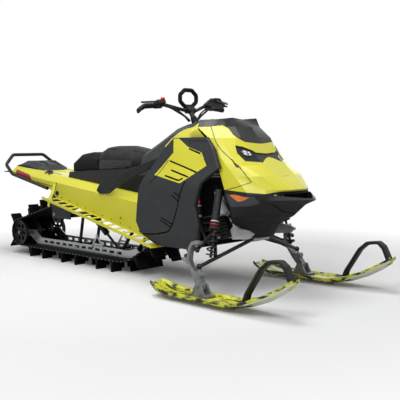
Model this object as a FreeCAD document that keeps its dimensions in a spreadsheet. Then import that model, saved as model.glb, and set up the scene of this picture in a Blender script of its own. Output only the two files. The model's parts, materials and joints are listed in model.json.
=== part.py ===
import FreeCAD, Part
import math
import os
import Sketcher
from FreeCAD import Placement, Rotation, Vector

# A mountain snowmobile in millimetres: X forward, Y to the rider's left, Z up from the floor.
# Every place below is measured from the ski bolt line; the whole machine is then shifted so that
# the origin is under the middle of its length.

# Driving sizes of the snowmobile
DRIVING = {
    # Track and what turns it
    "track_width": 406,
    "track_belt": 8,
    "lug_height": 76,
    "lug_width": 88,
    "lug_foot": 24,
    "lug_tip": 11,
    "lug_root": 3,
    "rear_axle_back": 2383,
    "rear_wheel_radius": 100,
    "upper_axle_back": 1836,
    "upper_axle_height": 366,
    "upper_wheel_radius": 70,
    "drive_axle_back": 750,
    "drive_axle_height": 325,
    "drive_radius": 87,
    "rail_curve_back": 1110,
    "rail_curve_radius": 392,
    "fit_gap": 0.3,
    # Skid inside the track
    "rail_spread": 230,
    "rail_web": 10,
    "rail_height": 52,
    "rail_upsweep": 27,
    "slider_height": 14,
    "slider_width": 26,
    "axle_radius": 12,
    "wheel_width": 26,
    "wheel_rim": 16,
    "wheel_hub_radius": 26,
    "wheel_web": 8,
    "skid_tube_radius": 14,
    "skid_shock_radius": 24,
    # Tunnel
    "tunnel_half_width": 220,
    "tunnel_shoulder": 46,
    "tunnel_wall": 4,
    "tunnel_rear_back": 2430,
    "tunnel_front_back": 565,
    "tunnel_top_rear": 731,
    "tunnel_top_front": 521,
    "tunnel_tail_depth": 76,
    "gusset_back": 1790,
    "gusset_run": 80,
    "tail_side_rise": 61,
    "board_height_rear": 494,
    "board_height_front": 241,
    # Running boards
    "board_width": 128,
    "board_plate": 4,
    "board_front_back": 560,
    "board_rail": 22,
    "board_slot": 62,
    "board_bar": 26,
    # Rear bumper, tail cover and flap
    "bumper_tube_radius": 12,
    "bumper_bend": 45,
    "bumper_front_back": 1891,
    "bumper_low_back": 2403,
    "bumper_corner_back": 2498,
    "bumper_top_back": 2535,
    "bumper_top_height": 822,
    "bumper_top_half": 145,
    "tail_cover_height": 62,
    "tail_cover_length": 420,
    "anchor_back": 1990,
    "anchor_side": 140,
    "anchor_length": 56,
    "anchor_width": 40,
    "anchor_height": 15,
    "anchor_floor": 3,
    "anchor_bore_radius": 12.5,
    "flap_reach": 140,
    "flap_thickness": 6,
    # Seat
    "seat_front_back": 907,
    "seat_rear_back": 1815,
    "seat_base_top": 735,
    "seat_half_width": 150,
    "cushion_top": 876,
    "cushion_length": 480,
    "trunk_top": 838,
    "soft_gap": 0.5,
    "stay_thickness": 16,
    # Front cover: hood, windshield, cheeks and lamps
    "cowl_reach": 385,
    "cowl_half_width": 268,
    "cowl_base": 600,
    "cowl_height": 440,
    "cowl_wall": 6,
    "seam": 0.8,
    "lamp_depth": 30,
    "lens_set_back": 2,
    # Belly and nose pan
    "pan_reach": 435,
    "pan_base": 338,
    "pan_wall": 6,
    "reflector_depth": 3,
    # Side panels
    "panel_back": 732,
    "panel_length": 600,
    "panel_base": 262,
    "panel_height": 665,
    "panel_half_width": 330,
    "panel_wall": 5,
    "panel_flange": 27,
    # Console
    "console_top": 1040,
    "console_half_width": 236,
    # Bulkhead and engine
    "bulkhead_half_width": 190,
    "bulkhead_plate": 8,
    "engine_width": 390,
    "engine_height": 350,
    "engine_base": 345,
    # Front suspension
    "ski_stance": 934,
    "ski_bolt_height": 95,
    "kingpin_top_back": 70,
    "kingpin_top_inset": 34,
    "kingpin_top_rise": 227,
    "arm_tube_radius": 11,
    "ball_radius": 17,
    "frame_height": 322,
    "frame_tube_radius": 13,
    "frame_front_reach": 35,
    "frame_rear_back": 205,
    "frame_front_half": 72,
    "frame_rear_half": 130,
    "upper_mount_back": 120,
    "upper_mount_spread": 140,
    "upper_mount_half": 205,
    "upper_mount_height": 405,
    "shock_top_back": 45,
    "shock_top_half": 270,
    "shock_body_radius": 22,
    "shock_rod_radius": 8,
    "spring_radius": 30,
    "spring_wire_radius": 5,
    "reservoir_radius": 20,
    "reservoir_length": 112,
    "reservoir_back": 215,
    "steer_arm_back": 146,
    "steer_arm_rise": 159.2,
    "tie_rod_eye_radius": 12,
    "tie_rod_eye_height": 14,
    "spindle_thickness": 34,
    "spindle_pin_radius": 8,
    "joint_gap": 0.8,
    "tie_rod_radius": 8,
    "tie_rod_inner_half": 140,
    "tie_rod_rise": 115,
    "tie_rod_run_back": 12,
    # Skis
    "ski_width": 180,
    "ski_front_reach": 650,
    "ski_deck": 24,
    "ski_keel": 16,
    "ski_keel_width": 34,
    "runner_radius": 6,
    "saddle_gap": 4.5,
    "saddle_ear": 12,
    "saddle_length": 150,
    "saddle_bolt_radius": 8,
    "loop_width": 46,
    # Handlebar
    "column_back": 503,
    "column_height": 1025,
    "column_lean": 31.3,
    "column_radius": 16,
    "column_length": 96,
    "collar_radius": 26,
    "collar_depth": 34,
    "bar_radius": 11,
    "bar_half_width": 378,
    "bar_rise": 50,
    "bar_sweep": 25,
    "bar_clamp_half": 34,
    "grip_radius": 17,
    "grip_length": 122,
    "strap_width": 167,
    "strap_height": 105,
    "strap_radius": 11,
    "block_length": 48,
    "block_size": 38,
    "lever_radius": 6,
    "lever_length": 130,
    "lever_gap": 45,
}

# Lug rows around the track, and which rows carry edge lugs
LUG_ROWS = 45
EDGE_ROWS = (0, 2)
ROW_CYCLE = 5

doc = FreeCAD.newDocument("Snowmobile")
sheet = doc.addObject("Spreadsheet::Sheet", "Sizes")
for row, (alias, size) in enumerate(DRIVING.items(), start=1):
    sheet.set("A%d" % row, alias)
    sheet.set("B%d" % row, str(size))
    sheet.setAlias("B%d" % row, alias)
doc.recompute()


class Size:
    """A length that keeps its value and the sheet expression that it comes from."""

    def __init__(self, value, text):
        self.value = float(value)
        self.text = text

    def __float__(self):
        return self.value

    def __add__(self, other):
        other = as_size(other)
        return Size(self.value + other.value, "(%s + %s)" % (self.text, other.text))

    def __radd__(self, other):
        return as_size(other) + self

    def __sub__(self, other):
        other = as_size(other)
        return Size(self.value - other.value, "(%s - %s)" % (self.text, other.text))

    def __rsub__(self, other):
        return as_size(other) - self

    def __mul__(self, share):
        share = as_size(share)
        return Size(self.value * share.value, "(%s * %s)" % (self.text, share.text))

    def __rmul__(self, share):
        return as_size(share) * self

    def __truediv__(self, share):
        share = as_size(share)
        return Size(self.value / share.value, "(%s / %s)" % (self.text, share.text))

    def __neg__(self):
        return Size(-self.value, "(-%s)" % self.text)


def as_size(number):
    """A plain share or a zero as a Size."""
    if isinstance(number, Size):
        return number
    return Size(number, repr(float(number)))


class Sheet:
    """Reads the sheet's cells by name."""

    def __getattr__(self, alias):
        return Size(sheet.get(alias), "Sizes." + alias)


dim = Sheet()
ZERO = as_size(0)

# Rows and places that several pieces share
belt_bottom = dim.lug_height + dim.track_belt
rear_axle = (-dim.rear_axle_back, belt_bottom + dim.rear_wheel_radius)
upper_axle = (-dim.upper_axle_back, dim.upper_axle_height)
drive_axle = (-dim.drive_axle_back, dim.drive_axle_height)
rail_curve = (-dim.rail_curve_back, belt_bottom + dim.rail_curve_radius)
shock_top_height = dim.cowl_base + dim.shock_body_radius
half_stance = dim.ski_stance / 2
tail_x = -dim.tunnel_rear_back - dim.flap_reach
shift = (-tail_x - dim.ski_front_reach) / 2

sub_parts = []


def place(piece, label, x=ZERO, z=ZERO, moved=True):
    """Names a finished sub-part and sets it in the machine."""
    piece.Label = label
    if moved:
        piece.setExpression("Placement.Base.x", (x + shift).text)
        if z is not ZERO:
            piece.setExpression("Placement.Base.z", z.text)
    sub_parts.append(piece)
    return piece


def plane_of(body, role):
    return [item for item in body.Origin.OriginFeatures if item.Role == role][0]


def draw(body, role, loops, offset=None, circles=()):
    """A sketch of closed outlines, each corner held by the sheet."""
    sketch = body.newObject("Sketcher::SketchObject", "Outline")
    sketch.AttachmentSupport = (plane_of(body, role), "")
    sketch.MapMode = "FlatFace"
    if offset is not None:
        sketch.AttachmentOffset = Placement(Vector(0, 0, float(offset)), Rotation())
        sketch.setExpression("AttachmentOffset.Base.z", offset.text)
    for points in loops:
        points = [(as_size(a), as_size(b)) for a, b in points]
        first = sketch.GeometryCount
        count = len(points)
        for index in range(count):
            start = points[index]
            end = points[(index + 1) % count]
            sketch.addGeometry(
                Part.LineSegment(
                    Vector(float(start[0]), float(start[1]), 0),
                    Vector(float(end[0]), float(end[1]), 0),
                )
            )
        for index in range(count):
            following = first + (index + 1) % count
            sketch.addConstraint(Sketcher.Constraint("Coincident", first + index, 2, following, 1))
        for index, point in enumerate(points):
            for kind, size in zip(("DistanceX", "DistanceY"), point):
                held = Sketcher.Constraint(kind, -1, 1, first + index, 1, float(size))
                number = sketch.addConstraint(held)
                if float(size) != 0:
                    sketch.setExpression("Constraints[%d]" % number, size.text)
    for a, b, radius in circles:
        a, b, radius = as_size(a), as_size(b), as_size(radius)
        ring = sketch.addGeometry(
            Part.Circle(Vector(float(a), float(b), 0), Vector(0, 0, 1), float(radius))
        )
        for kind, size in (("DistanceX", a), ("DistanceY", b)):
            number = sketch.addConstraint(Sketcher.Constraint(kind, -1, 1, ring, 3, float(size)))
            if float(size) != 0:
                sketch.setExpression("Constraints[%d]" % number, size.text)
        number = sketch.addConstraint(Sketcher.Constraint("Radius", ring, float(radius)))
        sketch.setExpression("Constraints[%d]" % number, radius.text)
    return sketch


def pad_body(role, loops, thickness, offset=None, circles=()):
    """A flat piece: outlines padded both ways from their plane."""
    body = doc.addObject("PartDesign::Body", "Plate")
    pad = body.newObject("PartDesign::Pad", "Thickness")
    pad.Profile = draw(body, role, loops, offset, circles)
    pad.Midplane = True
    pad.setExpression("Length", thickness.text)
    body.Tip = pad
    return body


def loft_body(role, sections):
    """A piece drawn through cross-sections, each given as its offset and outline."""
    body = doc.addObject("PartDesign::Body", "Shell")
    sketches = [draw(body, role, [points], offset) for offset, points in sections]
    loft = body.newObject("PartDesign::AdditiveLoft", "Skin")
    loft.Profile = sketches[0]
    loft.Sections = sketches[1:]
    loft.Ruled = True
    body.Tip = loft
    return body


def spin_body(profile):
    """A piece turned about the Y axis, from its profile in radius and Y."""
    body = doc.addObject("PartDesign::Body", "Turned")
    spin = body.newObject("PartDesign::Revolution", "Spin")
    sketch = draw(body, "XY_Plane", [profile])
    spin.Profile = sketch
    spin.ReferenceAxis = (sketch, ["V_Axis"])
    spin.Angle = 360
    body.Tip = spin
    return body


def feature(shape):
    piece = doc.addObject("Part::Feature", "Piece")
    piece.Shape = shape
    return piece


def cut(base, tools):
    piece = doc.addObject("Part::Cut", "Cut")
    piece.Base = base
    if len(tools) == 1:
        piece.Tool = tools[0]
    else:
        group = doc.addObject("Part::MultiFuse", "Tools")
        group.Shapes = tools
        piece.Tool = group
    return piece


def fuse(shapes):
    piece = doc.addObject("Part::MultiFuse", "Fused")
    piece.Shapes = shapes
    piece.Refine = True
    return piece


def common(shapes):
    piece = doc.addObject("Part::MultiCommon", "Shared")
    piece.Shapes = shapes
    return piece


def group(shapes):
    piece = doc.addObject("Part::Compound", "Group")
    piece.Links = shapes
    return piece


def mirrored(source):
    """The same piece on the rider's left."""
    piece = doc.addObject("Part::Mirroring", "Left")
    piece.Source = source
    piece.Normal = (0, 1, 0)
    piece.Base = (0, 0, 0)
    return piece


def both_sides(source, label):
    """A piece and its mirror image as one sub-part."""
    return place(group([source, mirrored(source)]), label)


def other_side(source, label):
    """The mirror image of a placed sub-part as a sub-part of its own."""
    return place(mirrored(source), label, moved=False)


def point(x, y, z):
    return Vector(float(x), float(y), float(z))


def rod(start, end, radius):
    run = end - start
    return Part.makeCylinder(float(radius), run.Length, start, run)


# A bend may take up to this share of each run beside it
BEND_RUN_SHARE = 0.49


def tube(points, radius, bend):
    """A round bar along straight runs joined by tangent arcs."""
    edges = []
    here = points[0]
    for index in range(1, len(points) - 1):
        corner = points[index]
        back = points[index - 1] - corner
        ahead = points[index + 1] - corner
        turn = math.pi - back.getAngle(ahead)
        room = min(back.Length, ahead.Length) * BEND_RUN_SHARE
        reach = min(float(bend) * math.tan(turn / 2), room)
        arc_radius = reach / math.tan(turn / 2)
        back.normalize()
        ahead.normalize()
        entry = corner + back * reach
        leave = corner + ahead * reach
        inward = back + ahead
        inward.normalize()
        middle = corner + inward * (arc_radius / math.cos(turn / 2) - arc_radius)
        edges.append(Part.LineSegment(here, entry).toShape())
        edges.append(Part.Arc(entry, middle, leave).toShape())
        here = leave
    edges.append(Part.LineSegment(here, points[-1]).toShape())
    ring = Part.Circle(points[0], points[1] - points[0], float(radius)).toShape()
    return Part.Wire(edges).makePipeShell([Part.Wire([ring])], True, False)


def band(points, width, thickness_vector):
    """A flat bar: a closed outline in space given depth."""
    face = Part.Face(Part.makePolygon(points + [points[0]]))
    return face.extrude(thickness_vector)


def wheel(radius, across):
    """Half profile of a wheel with hub, web and rim, centred on a place across the machine."""
    half = dim.wheel_width / 2
    web = dim.wheel_web / 2
    bore = dim.axle_radius + dim.fit_gap
    rim = radius - dim.wheel_rim
    return spin_body(
        [
            (bore, across - half),
            (dim.wheel_hub_radius, across - half),
            (dim.wheel_hub_radius, across - web),
            (rim, across - web),
            (rim, across - half),
            (radius, across - half),
            (radius, across + half),
            (rim, across + half),
            (rim, across + web),
            (dim.wheel_hub_radius, across + web),
            (dim.wheel_hub_radius, across + half),
            (bore, across + half),
        ]
    )


WHEEL_HOLES = 6


def lightening_holes(spot, radius, across):
    """Round holes through a wheel's web."""
    pitch = float(dim.wheel_hub_radius + radius - dim.wheel_rim) / 2
    bore = float(radius - dim.wheel_rim - dim.wheel_hub_radius) * 0.32
    half = dim.wheel_width / 2
    holes = []
    for index in range(WHEEL_HOLES):
        angle = 2 * math.pi * index / WHEEL_HOLES
        x = spot[0] + pitch * math.cos(angle)
        z = spot[1] + pitch * math.sin(angle)
        holes.append(feature(rod(point(x, across - half, z), point(x, across + half, z), bore)))
    return holes


# The track's path: four circles joined by straight runs
def track_circles(inset):
    circles = (
        (rear_axle, dim.rear_wheel_radius),
        (rail_curve, dim.rail_curve_radius),
        (drive_axle, dim.drive_radius),
        (upper_axle, dim.upper_wheel_radius),
    )
    return [(float(c[0]), float(c[1]), float(r) + inset) for c, r in circles]


def track_path(inset):
    """Edges of the closed loop, with the length of each, in running order."""
    circles = track_circles(inset)
    angles = []
    for index, (x, z, r) in enumerate(circles):
        nx, nz, nr = circles[(index + 1) % len(circles)]
        run = math.hypot(nx - x, nz - z)
        angles.append(math.atan2(nz - z, nx - x) - math.acos((r - nr) / run))
    edges = []
    for index, (x, z, r) in enumerate(circles):
        enter = angles[index - 1]
        leave = angles[index]
        while leave < enter:
            leave += 2 * math.pi
        spots = [
            Vector(x + r * math.cos(a), 0, z + r * math.sin(a))
            for a in (enter, (enter + leave) / 2, leave)
        ]
        edges.append(Part.Arc(*spots).toShape())
        nx, nz, nr = circles[(index + 1) % len(circles)]
        start = spots[2]
        end = Vector(nx + nr * math.cos(angles[index]), 0, nz + nr * math.sin(angles[index]))
        edges.append(Part.LineSegment(start, end).toShape())
    return edges


def build_track():
    """Rubber belt as one loop, with its paddle lugs standing on it."""
    outer_edges = track_path(float(dim.track_belt))
    outer = Part.Face(Part.Wire(outer_edges))
    inner = Part.Face(Part.Wire(track_path(0)))
    half = float(dim.track_width) / 2
    ring = outer.cut(inner)
    ring.translate(Vector(0, -half, 0))
    belt = ring.extrude(Vector(0, 2 * half, 0))
    total = sum(edge.Length for edge in outer_edges)
    root = float(dim.lug_root)
    lugs = []
    for index in range(LUG_ROWS):
        along = total * (index + 0.5) / LUG_ROWS
        for edge in outer_edges:
            if along <= edge.Length:
                break
            along -= edge.Length
        at = edge.getParameterByLength(along)
        spot = edge.valueAt(at)
        ahead = edge.tangentAt(at)
        out = Vector(ahead.z, 0, -ahead.x)
        foot = ahead * (float(dim.lug_foot) / 2)
        tip = ahead * (float(dim.lug_tip) / 2)
        low = spot - out * root
        high = spot + out * float(dim.lug_height)
        width = float(dim.lug_width)
        if index % ROW_CYCLE in EDGE_ROWS:
            inner_edge = half - width
        else:
            inner_edge = half - width - width * 1.1
        for side in (-1, 1):
            start = Vector(0, side * inner_edge, 0)
            corners = [low - foot + start, low + foot + start, high + tip + start, high - tip + start]
            lugs.append(band(corners, width, Vector(0, side * width, 0)))
    shape = belt.multiFuse(lugs).removeSplitter()
    place(feature(shape), "track")


def rail_arc(radius, end_share):
    """Points along the rail's upswept front, from its start to the share of the upsweep."""
    points = []
    steps = 6
    for step in range(steps + 1):
        angle = math.radians(float(dim.rail_upsweep)) * end_share * step / steps
        x = rail_curve[0] + radius * math.sin(angle)
        z = rail_curve[1] - radius * math.cos(angle)
        points.append((x, z))
    return points


def build_skid():
    """Slide rails, sliders, wheels, arms and shocks inside the track."""
    slide = dim.rail_curve_radius - dim.fit_gap
    low = slide - dim.slider_height
    high = low - dim.rail_height
    floor = rail_curve[1] - low
    roof = rail_curve[1] - high
    back = rear_axle[0]
    height = dim.rail_height
    outline = rail_arc(low, 1)
    outline += list(reversed(rail_arc(high, 0.9)))
    outline += [
        (back + height * 4.2, roof),
        (back + height * 2.4, rear_axle[1] + height * 0.4),
        (back - height * 0.9, rear_axle[1] + height * 0.4),
        (back - height * 0.9, rear_axle[1] - height * 0.4),
        (back + height * 1.0, rear_axle[1] - height * 0.6),
        (back + height * 2.8, floor),
    ]
    windows = []
    first = back + height * 4.8
    pitch = (rail_curve[0] - first) / 12
    for index in range(12):
        start = first + pitch * index
        windows.append(
            [
                (start, floor + height * 0.3),
                (start + pitch * 0.66, floor + height * 0.3),
                (start + pitch * 0.66, floor + height * 0.68),
                (start, floor + height * 0.68),
            ]
        )
    hole = [(rear_axle[0], rear_axle[1], dim.axle_radius + dim.fit_gap)]
    half_spread = dim.rail_spread / 2
    rail = pad_body("XZ_Plane", [outline] + windows, dim.rail_web, half_spread, hole)
    both_sides(rail, "slide_rails")
    strip = rail_arc(slide, 0.97) + list(reversed(rail_arc(low + dim.fit_gap, 0.97)))
    strip += [
        (back + height * 2.8, floor - dim.fit_gap),
        (back + height * 2.8, rail_curve[1] - slide),
    ]
    slider = pad_body("XZ_Plane", [strip], dim.slider_width, half_spread)
    both_sides(slider, "slide_strips")

    reach = float(dim.tunnel_half_width) - float(dim.tunnel_wall)
    axle_half = float(dim.track_width) / 2 - float(dim.fit_gap)
    axles = []
    for spot, end in ((rear_axle, axle_half), (upper_axle, reach), (drive_axle, reach)):
        ends = [point(spot[0], side * end, spot[1]) for side in (-1, 1)]
        axles.append(feature(rod(ends[0], ends[1], dim.axle_radius)))
    place(group(axles), "track_axles")
    outer_wheel = dim.track_width / 2 - dim.wheel_width
    inner_wheel = half_spread / 2
    wheels = []
    for spot, radius, places in (
        (rear_axle, dim.rear_wheel_radius, (outer_wheel, -outer_wheel, inner_wheel, -inner_wheel)),
        (upper_axle, dim.upper_wheel_radius, (outer_wheel, -outer_wheel)),
    ):
        for across in places:
            turned = wheel(radius - dim.fit_gap, across)
            turned.setExpression("Placement.Base.x", spot[0].text)
            turned.setExpression("Placement.Base.z", spot[1].text)
            wheels.append(cut(turned, lightening_holes(spot, radius, across)))
    place(group(wheels), "idler_wheels")
    running = dim.drive_radius - dim.fit_gap
    drivers = group([wheel(running, inner_wheel), wheel(running, -inner_wheel)])
    place(drivers, "drive_sprockets", drive_axle[0], drive_axle[1])

    tube_radius = dim.skid_tube_radius
    half = float(half_spread) - float(dim.rail_web) / 2 - float(dim.fit_gap)
    arm_y = half - 2 * float(tube_radius)
    arm_foot = (back + dim.rail_spread * 3.0, roof - height * 0.4)
    shock_top = (upper_axle[0] + dim.rail_spread * 0.85, upper_axle[1])
    shock_foot = (back + dim.rail_spread * 4.6, roof - height * 0.4)
    front_foot = (back + dim.rail_spread * 5.2, roof - height * 0.4)
    front_top = (drive_axle[0] - dim.rail_spread * 1.1, drive_axle[1] + dim.drive_radius * 0.2)

    def cross(spot, across):
        return rod(point(spot[0], -across, spot[1]), point(spot[0], across, spot[1]), tube_radius)

    def arm_frame(high, low, label):
        legs = []
        for way in (-1, 1):
            ends = [point(spot[0], way * arm_y, spot[1]) for spot in (high, low)]
            legs.append(rod(ends[0], ends[1], tube_radius * 0.85))
        shape = cross(high, reach).multiFuse([cross(low, half)] + legs)
        place(feature(shape), label)

    arm_frame(shock_top, arm_foot, "rear_arm")
    arm_frame(front_top, front_foot, "front_arm")
    gap = float(tube_radius) + float(dim.fit_gap)
    top = point(shock_top[0], 0, shock_top[1])
    foot = point(shock_foot[0], 0, shock_foot[1])
    run = foot - top
    run.normalize()
    start = top + run * gap
    end = foot
    middle = start + (end - start) * 0.55
    body = rod(start, middle, dim.skid_shock_radius)
    shock = body.multiFuse([rod(middle, end, dim.skid_shock_radius * 0.4), cross(shock_foot, half)])
    place(feature(shock), "skid_shock")


def tunnel_top(x):
    """Height of the tunnel's flat top over a place along the machine."""
    run = dim.tunnel_rear_back - dim.tunnel_front_back
    drop = dim.tunnel_top_rear - dim.tunnel_top_front
    return dim.tunnel_top_rear - drop * (x + dim.tunnel_rear_back) / run


def board_height(x):
    """Height of the running board's underside over a place along the machine."""
    run = dim.gusset_back - dim.board_front_back
    drop = dim.board_height_rear - dim.board_height_front
    return dim.board_height_rear - drop * (x + dim.gusset_back) / run


def build_tunnel():
    """Folded aluminium tunnel, its side walls deeper over the running boards."""
    half = dim.tunnel_half_width
    wall = dim.tunnel_wall
    slope = dim.tunnel_shoulder

    def section(x, low):
        top = tunnel_top(x)
        return (
            x,
            [
                (-half, low),
                (-half + wall, low),
                (-half + wall, top - slope - wall * 0.4),
                (-half + slope + wall * 0.4, top - wall),
                (half - slope - wall * 0.4, top - wall),
                (half - wall, top - slope - wall * 0.4),
                (half - wall, low),
                (half, low),
                (half, top - slope),
                (half - slope, top),
                (-half + slope, top),
                (-half, top - slope),
            ],
        )

    rear = -dim.tunnel_rear_back
    gusset = -dim.gusset_back
    step = gusset - dim.gusset_run
    front = -dim.tunnel_front_back
    sections = [
        section(rear, tunnel_top(rear) - dim.tunnel_tail_depth),
        section(step, board_height(gusset) + dim.tail_side_rise),
        section(gusset, board_height(gusset)),
        section(front, board_height(front)),
    ]
    place(loft_body("YZ_Plane", sections), "tunnel")


def build_boards():
    """Running boards: a ladder of toothed bars between the tunnel and an edge rail."""
    inner = dim.tunnel_half_width + dim.fit_gap
    outer = inner + dim.board_width
    plate = dim.board_plate
    front = -dim.board_front_back
    rear = -dim.gusset_back
    pitch = dim.board_slot + dim.board_bar
    count = int(float(front - rear) // float(pitch))

    def section(x):
        low = board_height(x)
        return (
            x,
            [
                (-outer, low),
                (-inner, low),
                (-inner, low + plate),
                (-outer + plate, low + plate),
                (-outer + plate, low + dim.board_rail),
                (-outer, low + dim.board_rail),
            ],
        )

    board = loft_body("YZ_Plane", [section(rear), section(front)])
    doc.recompute()
    slots = []
    for index in range(count):
        start = rear + pitch * (index + 0.4)
        slot = pad_body(
            "XY_Plane",
            [[
                (start, -inner - dim.board_bar * 0.5),
                (start + dim.board_slot, -inner - dim.board_bar * 0.5),
                (start + dim.board_slot, -outer + dim.board_bar * 0.7),
                (start, -outer + dim.board_bar * 0.7),
            ]],
            dim.board_rail * 2,
            board_height(start + dim.board_slot / 2),
        )
        slots.append(slot)
    right = cut(board, slots)
    both_sides(right, "running_boards")


# A step square to the shoulder's 45 degree face, as a share of it across and up
DIAGONAL_SHARE = math.sqrt(0.5)
# Tail reflectors on the shoulder: place along the tail, then low and high edge up the slope
TAIL_REFLECTOR_SHARES = ((0.07, 0.08, 0.74), (0.30, 0.12, 0.70), (0.42, 0.30, 0.46))


def build_tail():
    """Rear bumper tube, moulded tail cover, snow flap and red reflectors."""
    radius = dim.bumper_tube_radius
    side = dim.tunnel_half_width + radius + dim.fit_gap
    rear = -dim.tunnel_rear_back
    run_low = tunnel_top(rear) - dim.tunnel_tail_depth
    front_low = board_height(-dim.gusset_back) + dim.tail_side_rise
    right = [
        point(-dim.bumper_front_back, -side, front_low + radius),
        point(-dim.bumper_low_back, -side, run_low + radius),
        point(-dim.bumper_corner_back, -side, tunnel_top(rear) + radius),
        point(-dim.bumper_top_back, -dim.bumper_top_half, dim.bumper_top_height),
    ]
    left = [Vector(p.x, -p.y, p.z) for p in reversed(right)]
    place(feature(tube(right + left, radius, dim.bumper_bend)), "rear_bumper")

    flat_half = dim.tunnel_half_width - dim.tunnel_shoulder
    length = dim.tail_cover_length
    high = dim.tail_cover_height
    shares = ((0, 0.15, 0.98), (0.2, 0.8, 1.0), (0.45, 1.0, 0.95), (0.8, 0.75, 0.8), (1, 0.12, 0.55))
    sections = []
    for run_share, high_share, wide_share in shares:
        x = rear + length * run_share
        base = tunnel_top(x) + dim.fit_gap
        wide = flat_half * wide_share
        sections.append(
            (
                x,
                [
                    (-wide, base),
                    (wide, base),
                    (wide, base + high * high_share * 0.4),
                    (wide * 0.62, base + high * high_share),
                    (-wide * 0.62, base + high * high_share),
                    (-wide, base + high * high_share * 0.4),
                ],
            )
        )
    place(loft_body("YZ_Plane", sections), "tail_cover")
    top = tunnel_top(rear) - dim.tunnel_shoulder - dim.tunnel_wall
    thick = dim.flap_thickness
    flap = pad_body(
        "XZ_Plane",
        [[(rear, top), (tail_x, top + thick), (tail_x, top), (rear, top - thick)]],
        (dim.tunnel_half_width - dim.tunnel_wall - dim.fit_gap) * 2,
    )
    place(flap, "snow_flap")
    run = dim.tunnel_rear_back - dim.gusset_back
    slope = dim.tunnel_shoulder
    near = dim.fit_gap * DIAGONAL_SHARE
    proud = (dim.fit_gap + dim.reflector_depth) * DIAGONAL_SHARE
    sections = []
    for along, low_share, high_share in TAIL_REFLECTOR_SHARES:
        x = rear + run * along
        edge = tunnel_top(x) - slope
        corners = ((low_share, near), (high_share, near), (high_share, proud), (low_share, proud))
        half = dim.tunnel_half_width
        outline = [(slope * up - half - out, edge + slope * up + out) for up, out in corners]
        sections.append((x, outline))
    both_sides(loft_body("YZ_Plane", sections), "tail_reflectors")


def build_anchors():
    """Oval anchors on the tunnel's top, each with a blind socket for an accessory's stud."""
    round_end = dim.anchor_width / 2
    straight = dim.anchor_length - dim.anchor_width
    high = dim.anchor_height
    top = Vector(0, 0, float(high))
    ends = [point(straight * share, 0, 0) for share in (-0.5, 0.5)]
    shape = Part.makeBox(
        float(straight), float(dim.anchor_width), float(high), point(straight * -0.5, -round_end, 0)
    )
    shape = shape.multiFuse([rod(end, end + top, round_end) for end in ends])
    shape = shape.cut(rod(point(0, 0, dim.anchor_floor), top, dim.anchor_bore_radius))
    drop = float(dim.tunnel_top_rear - dim.tunnel_top_front)
    slope = math.degrees(math.atan2(drop, float(dim.tunnel_rear_back - dim.tunnel_front_back)))
    foot = point(-dim.anchor_back, -dim.anchor_side, tunnel_top(-dim.anchor_back) + dim.fit_gap)
    anchor = Part.makeCompound([shape]).Solids[0]
    anchor.Placement = Placement(foot, Rotation(Vector(0, 1, 0), slope))
    both_sides(feature(anchor), "tunnel_anchors")


# Side stays: how far behind the seat's front, low and high edge, and how far out, from the rear
STAY_SHARES = (
    (2.35, 0.545, 0.560, 1.0),
    (2.1, 0.528, 0.598, 1.0),
    (1.45, 0.535, 0.640, 1.0),
    (0.55, 0.607, 0.683, 1.0),
    (-0.55, 0.668, 0.724, 0.93),
    (-1.9, 0.742, 0.782, 0.83),
)


def build_seat():
    """Seat base, cushion and the storage trunk behind it, with the two side stays."""
    rear = -dim.seat_rear_back
    front = -dim.seat_front_back
    half = dim.seat_half_width
    base_top = dim.seat_base_top

    def slab(x, top, wide):
        low = tunnel_top(x) + dim.fit_gap
        return (x, [(-wide, low), (wide, low), (wide * 0.93, top), (-wide * 0.93, top)])

    base_rear = rear + half * 0.6
    sections = [slab(base_rear, base_top - half * 0.28, half), slab(front, base_top, half * 0.85)]
    place(loft_body("YZ_Plane", sections), "seat_base")

    def pillow(x, low, top, wide):
        return (
            x,
            [
                (-wide, low),
                (wide, low),
                (wide, low + (top - low) * 0.6),
                (wide * 0.7, top),
                (-wide * 0.7, top),
                (-wide, low + (top - low) * 0.6),
            ],
        )

    split = front - dim.cushion_length
    floor = base_top + dim.soft_gap
    top = dim.cushion_top
    deep = top - floor
    sections = [
        pillow(split, floor, top - deep * 0.2, half * 0.85),
        pillow(split + half * 0.45, floor, top, half * 0.87),
        pillow(split + half * 1.8, floor, top, half * 0.8),
        pillow(front, floor, top - deep * 0.25, half * 0.64),
    ]
    place(loft_body("YZ_Plane", sections), "seat_cushion")
    rise = dim.trunk_top - floor
    start = split - dim.soft_gap
    sections = [
        pillow(rear + half * 0.7, floor, floor + rise * 0.35, half * 0.8),
        pillow(rear + half * 1.25, floor, floor + rise * 0.88, half * 0.85),
        pillow(rear + half * 1.95, floor, floor + rise, half * 0.85),
        pillow(start, floor, floor + rise * 0.86, half * 0.85),
    ]
    place(loft_body("YZ_Plane", sections), "seat_trunk")
    sections = []
    for back_share, low_share, high_share, out_share in STAY_SHARES:
        inner = dim.tunnel_half_width * out_share + dim.fit_gap
        outer = inner + dim.stay_thickness
        low = dim.console_top * low_share
        high = dim.console_top * high_share
        station = -dim.seat_front_back - half * back_share
        sections.append((station, [(-outer, low), (-inner, low), (-inner, high), (-outer, high)]))
    both_sides(loft_body("YZ_Plane", sections), "side_stays")


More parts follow.
